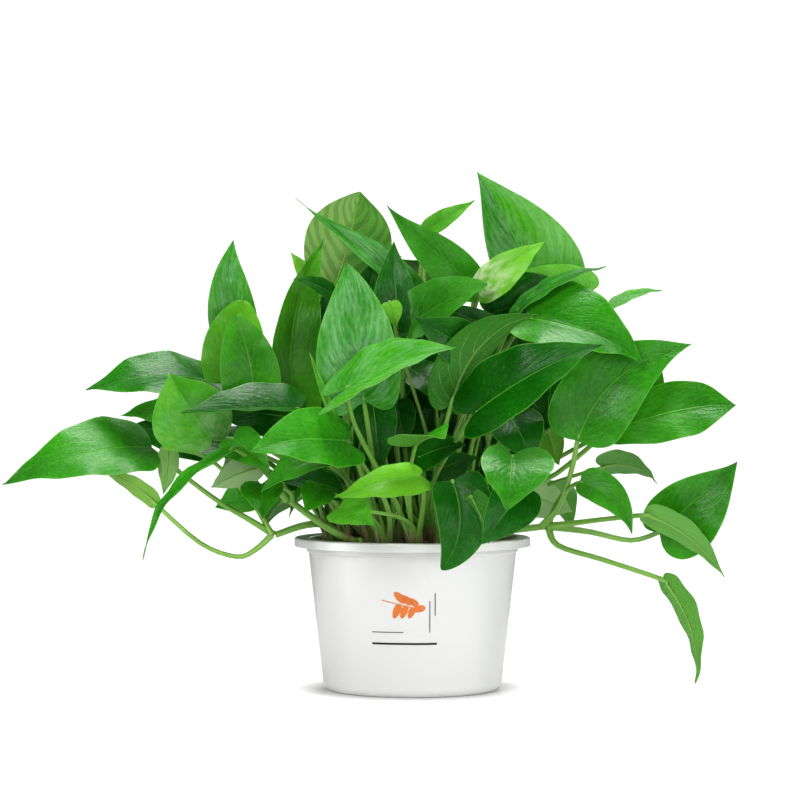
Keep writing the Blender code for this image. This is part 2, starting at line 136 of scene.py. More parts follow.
class Board:
    """The node tree of one material, with its Principled shader."""

    def __init__(self, name: str) -> None:
        """Starts an empty material of that name."""
        self.material = bpy.data.materials.new(name)
        self.material.use_nodes = True
        self.tree = self.material.node_tree
        self.shader = self.tree.nodes["Principled BSDF"]

    def node(self, kind: str, settings: dict[str, Any] | None = None,
             values: dict[Any, Any] | None = None, output: Any = 0) -> Wire:
        """Adds one node.

        Args:
            kind: the node's type.
            settings: its own settings, set before anything else; "stops" fills a colour ramp.
            values: what goes to each socket, a Wire or a constant.
            output: the socket that the result is read from.

        Returns:
            The chosen output.
        """
        made = self.tree.nodes.new(kind)
        for key, value in (settings or {}).items():
            if key == "stops":
                ramp = made.color_ramp.elements
                while len(ramp) < len(value):
                    ramp.new(0.5)
                for stop, (place, colour) in zip(ramp, value):
                    stop.position, stop.color = place, colour
            else:
                setattr(made, key, value)
        for key, value in (values or {}).items():
            self.feed(made.inputs[key], value)
        return Wire(self, made.outputs[output])

    def feed(self, socket: bpy.types.NodeSocket, value: Any) -> None:
        """Links a Wire to a socket, or sets the socket's constant."""
        if isinstance(value, Wire):
            self.tree.links.new(value.socket, socket)
        else:
            socket.default_value = value

    def mix(self, factor: Any, low: Any, high: Any) -> Wire:
        """A colour between low and high."""
        return self.node("ShaderNodeMix", {"data_type": "RGBA"}, {0: factor, 6: low, 7: high}, 2)

    def ramp(self, value: Wire, *stops: tuple[float, Colour]) -> Wire:
        """A colour read from a ramp."""
        return self.node("ShaderNodeValToRGB", {"stops": stops}, {"Fac": value}, "Color")

    def place(self) -> Wire:
        """Object coordinates."""
        return self.node("ShaderNodeTexCoord", output="Object")

    def attribute(self, name: str, output: str = "Vector") -> Wire:
        """A mesh attribute."""
        return self.node("ShaderNodeAttribute", {"attribute_name": name}, output=output)

    def split(self, vector: Wire) -> tuple[Wire, Wire, Wire]:
        """The three parts of a vector."""
        made = self.node("ShaderNodeSeparateXYZ", values={0: vector}).socket.node
        return tuple(Wire(self, socket) for socket in made.outputs)

    def join(self, *parts: Any) -> Wire:
        """A vector of three parts."""
        return self.node("ShaderNodeCombineXYZ", values=dict(enumerate(parts)))

    def noise(self, vector: Wire, scale: float, detail: float = 2.0, rough: float = 0.5) -> Wire:
        """Smooth noise from 0 to 1."""
        return self.node("ShaderNodeTexNoise", values={
            "Vector": vector, "Scale": scale, "Detail": detail, "Roughness": rough})

    def cells(self, vector: Wire, scale: float, feature: str = "F1") -> Wire:
        """The distance to scattered cells, or to their edges."""
        return self.node("ShaderNodeTexVoronoi", {"feature": feature},
                         {"Vector": vector, "Scale": scale}, "Distance")

    def stretch(self, vector: Wire, scale: Triple, rotation: Triple = (0, 0, 0)) -> Wire:
        """A place turned and scaled, which draws out the noise that is read there."""
        return self.node("ShaderNodeMapping", values={
            "Vector": vector, "Rotation": rotation, "Scale": scale})

    def lit(self, surface: Wire) -> Material:
        """Shows a surface in place of the shader, and gives the material."""
        self.feed(self.tree.nodes["Material Output"].inputs["Surface"], surface)
        return self.material

    def glow(self) -> Wire:
        """Plain white light."""
        return self.node("ShaderNodeEmission", values={"Color": (1, 1, 1, 1), "Strength": 1.0})

    def bump(self, height: Wire, depth: float, strength: float) -> Wire:
        """A normal pushed by a height, whose full range is depth in metres."""
        return self.node("ShaderNodeBump", values={
            "Height": height, "Distance": depth, "Strength": strength})

    def dress(self, **sockets: Any) -> Material:
        """Feeds the shader's sockets, named with underscores for spaces, and gives the material."""
        for key, value in sockets.items():
            self.feed(self.shader.inputs[key.replace("_", " ")], value)
        return self.material


# ---------------------------------------------------------------- finishes


@dataclass(frozen=True)
class BladeSide:
    """One side of a leaf: the run of its veins, and how rough, raised and glossy it is.

    soak and tissue say how much light sinks in, and how far in each colour.
    """
    veins: int
    slant: float
    rough: float
    relief: float
    push: float
    gloss: float
    soak: float
    tissue: Triple
    depth: float = 1.2 * MM
    drift: float = 42
    stray: float = 0.9

    def run(self, board: Board) -> tuple[Wire, ...]:
        """Reads where a place lies among the veins.

        Args:
            board: the material's board.

        Returns:
            The place; its parts across and along the blade and the leaf's own number; how far out
            it is from the midrib; a slow drift; where its vein springs from the midrib; and the
            veins' tooth, which is 0 on a vein and 1 between two.
        """
        place = board.place()
        across, along, phase = board.split(board.attribute("grain"))
        reach, drift = abs(across), board.noise(place, self.drift)
        spring = along - reach * (reach * 0.5 + 0.7) * self.slant
        tooth = (spring * self.veins + drift.sway(self.stray)).tooth()
        return place, across, along, phase, reach, drift, spring, tooth

    def dye(self, board: Board) -> tuple[Wire, ...]:
        """Reads the leaf's light, warm, streak and pale."""
        return *board.split(board.attribute("tint")), board.attribute("tint", "Alpha")

    def finish(self, board: Board, green: Wire, rough: Wire, height: Wire) -> Material:
        """Dresses the material in a colour, a change of roughness and a relief."""
        return board.dress(
            Base_Color=green, Roughness=self.rough + rough,
            Normal=board.bump(height, self.relief, self.push), Specular_IOR_Level=self.gloss,
            Subsurface_Weight=self.soak, Subsurface_Radius=self.tissue, Subsurface_Scale=self.depth)


@dataclass(frozen=True)
class BladeUpper(BladeSide):
    """The waxy upper side of a leaf, with its veins, pale streaks on a painted sheen, and specks of painted
    glint.
    """
    deep: Colour = (0.001, 0.042, 0.001, 1)
    mid: Colour = (0.007, 0.120, 0.002, 1)
    fresh: Colour = (0.040, 0.290, 0.012, 1)
    light: Colour = (0.140, 0.480, 0.040, 1)
    yellow: Colour = (0.240, 0.520, 0.015, 1)
    silver_and_painted_sheen: Colour = (0.300, 0.560, 0.310, 1)
    cream: Colour = (0.640, 0.740, 0.480, 1)
    veins: int = 13
    slant: float = 0.25
    rough: float = 0.25
    relief: float = 0.9 * MM
    push: float = 0.6
    gloss: float = 0.22
    soak: float = 0.10
    tissue: Triple = (0.25, 1.0, 0.12)
    painted_glint_cells: float = 520
    painted_glint: float = 0.7

    def make(self) -> Material:
        """Builds the material."""
        board = Board("leaf_upper")
        place, across, along, phase, reach, drift, spring, tooth = self.run(board)
        tone, warm, streak, pale = self.dye(board)
        fade = 1 - reach.step(0.5, 1.0)
        vein = (1 - tooth.step(0.0, 0.16)) * fade
        rib = 1 - reach.step(0.010, 0.036)
        broad = board.noise(place, 18, 3)
        fine = board.noise(board.join(spring * 48 + drift * 4, reach * 9, phase), 1, 3)
        grit, mottle = board.noise(place, 1100), board.noise(place, 330, 3, 0.6)
        quilt = streak ** 6 * 0.9 + 0.06
        level = (tone + broad.sway(0.55) + fine.sway(0.20) + mottle.sway(0.38) + grit.sway(0.20)
                 + tooth.sway(quilt) * 0.6 + reach * 0.10 - vein * 0.03)
        green = board.ramp(level, (0.0, self.deep), (0.33, self.mid), (0.66, self.fresh), (1.0, self.light))
        green = board.mix(warm * (0.55 + broad.sway(0.8)), green, self.yellow)
        # Silver streaks run with the veins, where a slow wash lets them through; they lie on an even silver
        # layer, a painted sheen, that the same wash lets through.
        flow = board.noise(board.join(spring * 44 + drift * 4, reach * 7.5, phase * 3), 1, 4, 0.62)
        wash = board.noise(board.join(along * 5, across * 1.6, phase * 3), 1, 3, 0.6)
        streak_sheen_veil = wash.step(0.62 - streak * 0.34, 0.86 - streak * 0.30)
        lines = (flow.step(0.56 - streak * 0.20, 0.76 - streak * 0.10) * 0.40 + 0.20) * streak * streak_sheen_veil
        green = board.mix(lines, green, self.silver_and_painted_sheen)
        # Cream patches keep to the half next to the petiole.
        patch = board.noise(board.join(along * 7 + phase, across * 2.4, phase * 5), 1, 4, 0.6)
        heel = 1 - along.step(0.30, 0.75)
        green = board.mix(patch.step(0.34, 0.66) * pale * heel, green, self.cream)
        # Painted highlights: small silver dots in some patches stand in for glints of light on the wax.
        glint_patches = board.noise(place, 60, 1).step(0.46, 0.60)
        painted_glint = (1 - board.cells(place, self.painted_glint_cells).step(0.06, 0.13)) * glint_patches
        green = board.mix(painted_glint * self.painted_glint, green, self.silver_and_painted_sheen)
        green = board.mix(rib * 0.45, green, self.light)
        green = board.mix(reach.step(0.960, 0.995) * 0.55, green, self.light)
        net = board.cells(board.join(along * 30, across * 9, phase), 1.6, "DISTANCE_TO_EDGE").step(0.0, 0.08)
        height = (tooth * (quilt + 0.08) * fade + net * 0.08 - rib * 0.6 + fine.sway(0.30)
                  + broad.sway(1.8) + mottle.sway(0.25) + grit.sway(0.10) + painted_glint * 0.1)
        return self.finish(board, green, broad.sway(0.20) + lines * 0.08, height)


@dataclass(frozen=True)
class BladeUnder(BladeSide):
    """The duller, paler underside of a leaf, where the veins stand out."""
    deep: Colour = (0.010, 0.110, 0.004, 1)
    fresh: Colour = (0.062, 0.290, 0.022, 1)
    light: Colour = (0.240, 0.440, 0.120, 1)
    yellow: Colour = (0.260, 0.500, 0.030, 1)
    vein: Colour = (0.300, 0.480, 0.170, 1)
    painted_shade_band: Colour = (0.015, 0.110, 0.008, 1)
    frost: Colour = (0.400, 0.560, 0.330, 1)
    veins: int = 9
    painted_shade_bands: int = 11
    slant: float = 0.22
    rough: float = 0.46
    relief: float = 0.6 * MM
    push: float = 0.5
    gloss: float = 0.16
    soak: float = 0.12
    tissue: Triple = (0.3, 1.0, 0.15)

    def make(self) -> Material:
        """Builds the material."""
        board = Board("leaf_under")
        place, across, along, phase, reach, drift, spring, tooth = self.run(board)
        tone, warm, streak, pale = self.dye(board)
        vein = (1 - tooth.step(0.0, 0.14)) * (1 - reach.step(0.6, 1.0))
        rib = 1 - reach.step(0.02, 0.06)
        broad = board.noise(place, 16)
        green = board.ramp(tone + broad.sway(0.3), (0.0, self.deep), (0.5, self.fresh), (1.0, self.light))
        green = board.mix(warm * 0.6, green, self.yellow)
        green = board.mix(streak * streak * 0.6, green, self.frost)
        # Painted shade: dark bands lie between the veins of a pale leaf, standing in for shadow across it.
        painted_shade_band = (spring * self.painted_shade_bands + drift.sway(1.6) + broad.sway(1.2)).tooth().step(0.38, 0.66)
        green = board.mix(painted_shade_band * pale * 0.38, green, self.painted_shade_band)
        mesh = board.join(along * 34, across * 10, phase)
        net = 1 - board.cells(mesh, 1.6, "DISTANCE_TO_EDGE").step(0.0, 0.09)
        green = board.mix(vein * 0.35 + net * 0.18 + rib * 0.6, green, self.vein)
        return self.finish(board, green, broad.sway(0.1), vein * 0.6 + net * 0.2 + rib)


@dataclass(frozen=True)
class StalkSkin:
    """The skin of petioles and stems: pale green, streaked lengthwise, brown where it is old."""
    green: Colour = (0.200, 0.430, 0.060, 1)
    pale: Colour = (0.460, 0.640, 0.240, 1)
    dark: Colour = (0.050, 0.200, 0.020, 1)
    brown: Colour = (0.160, 0.085, 0.040, 1)
    rough: float = 0.42

    def make(self) -> Material:
        """Builds the material."""
        board = Board("stalk_skin")
        grain, place = board.attribute("grain"), board.place()
        over, side, run = board.split(grain)
        tone, age, _ = board.split(board.attribute("tint"))
        lines = board.noise(board.join(over * 5, side * 5, run * 30), 1, 3)
        blot = board.noise(place, 120, 3)
        skin = board.mix(tone + lines.sway(0.5), self.dark, self.green)
        skin = board.mix(lines.step(0.48, 0.72) * 0.55, skin, self.pale)
        old = (age * 1.5 + blot.sway(1.1) + over * 0.12).step(0.62, 1.05)
        skin = board.mix(old, skin, self.brown)
        return board.dress(
            Base_Color=skin, Roughness=self.rough + old * 0.3,
            Normal=board.bump(lines * 0.6 + blot * 0.4, 0.4 * MM, 0.4),
            Subsurface_Weight=0.1, Subsurface_Radius=(0.4, 1.0, 0.2), Subsurface_Scale=2 * MM)


@dataclass(frozen=True)
class DryScale:
    """Papery brown sheaths and bits of old root."""
    light: Colour = (0.460, 0.390, 0.210, 1)
    dark: Colour = (0.110, 0.070, 0.032, 1)

    def make(self) -> Material:
        """Builds the material."""
        board = Board("dry_scale")
        place = board.place()
        lines = board.noise(board.stretch(place, (1.0, 1.0, 0.18)), 900, 3)
        blot = board.noise(place, 90)
        return board.dress(
            Base_Color=board.mix(lines * 0.6 + blot * 0.4, self.dark, self.light),
            Roughness=0.72 + blot.sway(0.2), Normal=board.bump(lines, 0.3 * MM, 0.6))


@dataclass(frozen=True)
class PotPlastic:
    """White moulded plastic with a faint orange-peel, a satin sheen and dust inside the rim."""
    white: Colour = (0.745, 0.742, 0.738, 1)
    shade: Colour = (0.695, 0.692, 0.690, 1)
    dust: Colour = (0.300, 0.230, 0.160, 1)
    rough: float = 0.34

    def make(self) -> Material:
        """Builds the material."""
        board = Board("pot_white")
        place = board.place()
        across, depth, height = board.split(place)
        cloud = board.noise(place, 9, 3)
        peel = board.noise(place, 900)
        flow = board.noise(board.stretch(place, (1.0, 1.0, 0.05)), 160)
        radius = (across * across + depth * depth) ** 0.5
        wall = BASE_WALL + height * WALL_SLOPE
        inside = (1 - (radius - wall).step(-1.2 * MM, -0.6 * MM)) * height.step(100 * MM, 112 * MM)
        smear = board.noise(place, 160, 4, 0.65).step(0.45, 0.75) * inside
        white = board.mix(cloud * 0.5 + flow.sway(0.15), self.shade, self.white)
        return board.dress(
            Base_Color=board.mix(smear * 0.5, white, self.dust),
            Roughness=self.rough + cloud.sway(0.14) + flow.sway(0.06),
            Normal=board.bump(peel * 0.6 + flow * 0.4, 0.06 * MM, 0.5),
            Subsurface_Weight=0.35, Subsurface_Radius=(1.0, 1.0, 1.0), Subsurface_Scale=4 * MM)


@dataclass(frozen=True)
class PrintInk:
    """A screen-printed ink with a slightly broken coat."""
    name: str
    colour: Colour
    thin: Colour

    def make(self) -> Material:
        """Builds the material."""
        board = Board(self.name)
        place = board.place()
        wear = board.noise(place, 700, 3, 0.6)
        return board.dress(
            Base_Color=board.mix(wear.step(0.55, 0.80) * 0.5, self.colour, self.thin),
            Roughness=0.42 + wear.sway(0.2), Normal=board.bump(wear, 0.03 * MM, 0.4))


@dataclass(frozen=True)
class PottingMix:
    """Damp dark soil with lighter fibres."""
    wet: Colour = (0.010, 0.006, 0.004, 1)
    dry: Colour = (0.070, 0.040, 0.022, 1)
    fibre: Colour = (0.190, 0.115, 0.060, 1)

    def make(self) -> Material:
        """Builds the material."""
        board = Board("potting_mix")
        place = board.place()
        clod, grit = board.noise(place, 70, 5, 0.65), board.noise(place, 600, 3)
        fibre = board.noise(board.stretch(place, (1.0, 0.12, 1.0), (0.4, 0.7, 0.5)), 700)
        earth = board.mix(clod * 0.7 + grit.sway(0.6), self.wet, self.dry)
        earth = board.mix(fibre.step(0.62, 0.72) * 0.6, earth, self.fibre)
        return board.dress(
            Base_Color=earth, Roughness=0.82 + clod.sway(0.25),
            Normal=board.bump(grit * 0.5 + clod * 0.5, 1.5 * MM, 0.8))


@dataclass(frozen=True)
class Perlite:
    """Chalky white grains in the soil."""
    white: Colour = (0.62, 0.60, 0.56, 1)
    grey: Colour = (0.30, 0.27, 0.23, 1)

    def make(self) -> Material:
        """Builds the material."""
        board = Board("perlite")
        pits = board.noise(board.place(), 900, 3)
        return board.dress(Base_Color=board.mix(pits.step(0.35, 0.65), self.grey, self.white),
                           Roughness=0.85 + pits.sway(0.1), Normal=board.bump(pits, 0.5 * MM, 0.7))


# ---------------------------------------------------------------- leaves

# The material slots of a stem's piece, after the blades' upper side and underside.
STALK, SCALE = 2, 3


@dataclass(frozen=True)
class Tint:
    """How a leaf is coloured.

    light, warm, streak and pale run from 0 to 1: how light and how yellow it is, and how much it
    has of silver streaks, which on the upper side lie on an even painted sheen, and of pale patches,
    which on the underside are dark bands of painted shade. split is how much lighter its right half
    is: painted light and shade, one half lit and the other shaded.
    """
    light: float
    warm: float = 0.0
    streak: float = 0.0
    pale: float = 0.0
    split: float = 0.0


class Tone(Enum):
    """The colours that leaves of this plant come in."""
    DARK = Tint(0.20, 0.00, 0.10)
    GLOSSY = Tint(0.15, 0.00, 0.10)
    DARK_STREAKED = Tint(0.52, 0.00, 0.85)
    SILVER_DARK = Tint(0.24, 0.00, 0.50)
    OLIVE = Tint(0.42, 0.25, 0.05)
    DUSKY = Tint(0.52, 0.16, 0.10)
    MID = Tint(0.46, 0.08, 0.10)
    RICH = Tint(0.49, 0.05, 0.20)
    SOFT = Tint(0.60, 0.00, 0.40)
    BRIGHT = Tint(0.62, 0.05, 0.15)
    LIGHT = Tint(0.78, 0.15, 0.15)
    LIME = Tint(0.88, 0.55, 0.20)
    YELLOW = Tint(0.58, 0.45, 0.00)
    STREAKED = Tint(0.66, 0.05, 0.75)
    SILVER = Tint(0.58, 0.00, 0.82)
    GREY = Tint(0.42, 0.00, 0.55)
    PALE = Tint(0.85, 0.10, 0.50)
    FROSTED = Tint(0.92, 0.00, 1.00)
    SEA = Tint(0.36, 0.00, 0.45)
    UNDER_WARM = Tint(0.85, 0.45, 0.10)
    # These three carry painted light and shade: one half lighter than the other, and on the banded one dark
    # bands of painted shade across its underside.
    PALE_PAINTED_HALF_LIT = Tint(0.58, 0.15, 0.40, 0.20, -0.14)
    PAINTED_SHADE_BANDED = Tint(0.80, 0.10, 0.10, 0.90, 0.20)
    QUILTED_PAINTED_HALF_LIT = Tint(0.62, 0.06, 0.78, 0.00, 0.16)
    LIME_PATCHED = Tint(0.88, 0.45, 0.30, 0.80)


@dataclass(frozen=True)
class Leaf:
    """One leaf, in millimetres and degrees.

    base and tip are the ends of the midrib, and left and right the half widths. face is the bearing
    that the upper side looks to (0 is the front, 90 the right) and its rise. arch lifts and sickle
    swings the midrib, as shares of the length; fold closes the halves and roll bends them down
    towards the margin. full widens the ends, where less than 0 thins them, a peak above 1 moves the
    widest place towards the tip, and lobe is how far the base reaches back past the petiole. via
    lists the points that the petiole passes.
    """
    base: Triple
    tip: Triple
    left: float
    right: float
    tone: Tone = Tone.MID
    face: Pair = (0, 30)
    arch: float = 0.08
    sickle: float = 0.0
    fold: float = 15
    roll: float = 15
    full: float = 0.0
    peak: float = 1.0
    lobe: float = 1.0
    via: tuple[Triple, ...] = ()


def catmull(knots: Sequence[Any], share: float) -> Any:
    """A point of a smooth curve through evenly timed knots.

    Args:
        knots: numbers, or vectors.
        share: 0 at the first knot and 1 at the last.

    Returns:
        The point, of the knots' own kind.
    """
    spans = len(knots) - 1
    spot = min(max(share, 0.0), 1.0) * spans
    index = min(int(spot), spans - 1)
    t = spot - index
    a, b, c, d = (knots[min(max(index + k, 0), spans)] for k in (-1, 0, 1, 2))
    if index == 0:
        a = b * 2 - c
    if index == spans - 1:
        d = c * 2 - b
    return (b * 2 + (c - a) * t + (a * 2 - b * 5 + c * 4 - d) * t ** 2
            + (b * 3 - a - c * 3 + d) * t ** 3) * 0.5


def bent_grid(bm: bmesh.types.BMesh, columns: int, rows: int, slot: Callable[[float], int],
              shape: Callable[[float, float], tuple[Vector, Vector, Colour]]) -> None:
    """Adds a grid and bends it round into a closed skin.

    Args:
        bm: the mesh that it goes to, which has the layers "grain" and "tint".
        columns: faces round.
        rows: faces along.
        slot: takes a face's place round and gives its material slot.
        shape: takes round and along, each from 0 to 1, and gives place, grain and tint.
    """
    grain, tint = bm.verts.layers.float_vector["grain"], bm.verts.layers.float_color["tint"]
    verts = bmesh.ops.create_grid(bm, x_segments=columns, y_segments=rows, size=0.5)["verts"]
    faces = list({face for vert in verts for face in vert.link_faces})
    for face in faces:
        face.material_index = slot(face.calc_center_median().x + 0.5)
        face.smooth = True
    for vert in verts:
        vert.co, vert[grain], vert[tint] = shape(vert.co.x + 0.5, vert.co.y + 0.5)
    bmesh.ops.remove_doubles(bm, verts=verts, dist=MERGE)
    bmesh.ops.recalc_face_normals(bm, faces=[face for face in faces if face.is_valid])


class Blade:
    """The curved surface of one blade, in metres."""

    COLUMNS = 14
    ROWS = 36
    THICK = 0.45 * MM
    # The margin's wave: its height as a share of the length, its turns from end to end, and how far
    # it runs ahead on the right side and from leaf to leaf.
    WAVE, WAVE_TURNS, WAVE_SHIFT, WAVE_STEP = 0.009, 3.3, 0.13, 1.7
    # Slower dents, and how often they come along and across.
    RIPPLE, RIPPLE_ALONG, RIPPLE_ACROSS = 0.008, 9, 3
    # How far the tip hooks to a side, and how sharply painted light and shade change at a split midrib.
    HOOK, SPLIT_EDGE = 0.09, 12
    # How much faster than the halves widen their points sweep back or forward.
    SWEEP = 1.2
    # From the notch at the petiole to the tip: the share of the midrib that a vein starts from, the
    # margin's place along the blade, and the margin's share of the half width.
    OUTLINE = tuple(Vector(row) for row in (
        (0.000, 0.000, 0.00), (0.004, -0.062, 0.26), (0.015, -0.068, 0.54), (0.045, -0.005, 0.80),
        (0.100, 0.110, 0.95), (0.190, 0.240, 1.00), (0.300, 0.380, 0.95), (0.430, 0.530, 0.80),
        (0.570, 0.670, 0.585), (0.700, 0.790, 0.36), (0.820, 0.885, 0.185), (0.920, 0.955, 0.07),
        (1.000, 1.000, 0.00)))

    def __init__(self, leaf: Leaf, number: int) -> None:
        """Works out the midrib of the leaf with that number on its stem."""
        self.leaf = leaf
        self.phase = self.WAVE_STEP * number
        self.base, self.tip = Vector(leaf.base) * MM, Vector(leaf.tip) * MM
        chord = self.tip - self.base
        self.length = chord.length
        along = chord.normalized()
        bearing, rise = (math.radians(angle) for angle in leaf.face)
        level = math.cos(rise)
        toward = Vector((math.sin(bearing) * level, -math.cos(bearing) * level, math.sin(rise)))
        self.normal = (toward - along * toward.dot(along)).normalized()
        side = along.cross(self.normal)
        middle = (self.base + self.tip) / 2
        self.control = middle + (self.normal * leaf.arch + side * leaf.sickle) * 2 * self.length
        # A number of its own for each leaf, which moves its markings and dents about.
        self.mark = (self.base.x * 91 + self.tip.z * 57) % 9
        self.hook = side * math.sin(self.mark * 7) * self.HOOK * self.length

    def rib(self, share: float) -> tuple[Vector, Vector, Vector, Vector]:
        """A point on the midrib, with its direction, the upper side's normal and the right side."""
        rest = 1 - share
        point = self.base * rest ** 2 + self.control * 2 * share * rest + self.tip * share ** 2
        slope = (self.control - self.base) * rest + (self.tip - self.control) * share
        point += self.hook * (share ** 4 - share ** 2)
        slope += self.hook * (2 * share ** 3 - share)
        along = slope.normalized()
        up = (self.normal - along * self.normal.dot(along)).normalized()
        return point, along, up, along.cross(up)

    def row(self, along: float) -> tuple[Any, ...]:
        """What all the points at one place along the blade share."""
        share, place, _ = catmull(self.OUTLINE, along)
        spread = max(0.0, catmull(self.OUTLINE, along ** self.leaf.peak)[2]) ** (1 - self.leaf.full)
        return share, place, spread, *self.rib(share)

    def surface(self, across: float, along: float, row: tuple[Any, ...],
                under: bool) -> tuple[Vector, Vector, Colour]:
        """A point of the upper side or the underside, with its grain and tint."""
        share, place, spread, origin, forward, up, right = row
        leaf, reach, side = self.leaf, abs(across), math.copysign(1, across)
        half = (leaf.right if side > 0 else leaf.left) * MM * spread
        fold, roll = math.radians(leaf.fold), math.radians(leaf.roll)
        lean = fold - roll * reach
        out = half * (math.sin(fold) - math.sin(lean)) / roll
        lift = half * (math.cos(lean) - math.cos(fold)) / roll
        wave = math.sin(math.tau * self.WAVE_TURNS * (place + self.WAVE_SHIFT * side) + self.phase)
        dent = noise.noise(Vector((place * self.RIPPLE_ALONG, side * self.RIPPLE_ACROSS, self.mark)))
        lift += (self.WAVE * wave + self.RIPPLE * dent) * self.length * reach ** 2
        sweep = (place - share) * (leaf.lobe if place < share else 1) * reach ** self.SWEEP * self.length
        point = origin + forward * sweep + right * side * out + up * lift
        if under:
            point -= (up * math.cos(lean) - right * side * math.sin(lean)) * self.THICK
        tint = leaf.tone.value
        # A split leaf's halves get painted light and shade: one half lighter, the other darker.
        light = tint.light + tint.split * min(1.0, max(-1.0, across * self.SPLIT_EDGE))
        return point, Vector((across, along, self.mark)), (light, tint.warm, tint.streak, tint.pale)

    def add(self, bm: bmesh.types.BMesh) -> None:
        """Adds the blade to a mesh: over the upper side, round the right margin and back below."""
        half = self.COLUMNS + 1
        rows = [self.row(index / self.ROWS) for index in range(self.ROWS + 1)]

        def shape(around: float, along: float) -> tuple[Vector, Vector, Colour]:
            """A point of the closed skin."""
            column = round(around * 2 * half) % (2 * half)
            under = column > self.COLUMNS
            across = 2 * (column % half) / self.COLUMNS - 1
            return self.surface(-across if under else across, along, rows[round(along * self.ROWS)],
                                under and 0.0 < along < 1.0)

        bent_grid(bm, 2 * half, self.ROWS, lambda around: int(around * 2 * half > self.COLUMNS), shape)


@dataclass
class Stalk:
    """A rod swept along a route, with a groove in its upper side and closed ends."""
    route: list[Vector]
    radii: list[float]
    up: Vector
    light: float = 0.5
    age: Pair = (0.2, 0.0)
    groove: float = 0.28
    sides: int = 10
    slot: int = STALK
    steps: int = 4

    def add(self, bm: bmesh.types.BMesh) -> None:
        """Adds the rod to a mesh."""
        rows = (len(self.route) - 1) * self.steps
        stations = [catmull(self.route, row / rows) for row in range(rows + 1)]
        frames, up = [], self.up
        for row in range(rows, -1, -1):
            ahead, behind = stations[min(row + 1, rows)], stations[max(row - 1, 0)]
            forward = (ahead - behind).normalized()
            up = (up - forward * up.dot(forward)).normalized()
            frames.append((stations[row], up, forward.cross(up)))
        frames.reverse()
        runs = [0.0]
        for near, far in zip(stations, stations[1:]):
            runs.append(runs[-1] + (far - near).length)

        def shape(around: float, along: float) -> tuple[Vector, Vector, Colour]:
            """A point of the rod's skin."""
            ring = round(along * (rows + 2)) - 1
            row = min(max(ring, 0), rows)
            share = row / rows
            centre, over, side = frames[row]
            angle = math.tau * around
            height, width = math.sin(angle), math.cos(angle)
            radius = catmull(self.radii, share) if row == ring else 0.0
            sunk = 1 - self.groove * max(0.0, height) ** 6
            age = self.age[0] + (self.age[1] - self.age[0]) * share
            return (centre + (over * height * sunk + side * width) * radius,
                    Vector((height, width, runs[row])), (self.light, age, share, 0.0))

        bent_grid(bm, self.sides, rows + 2, lambda _: self.slot, shape)


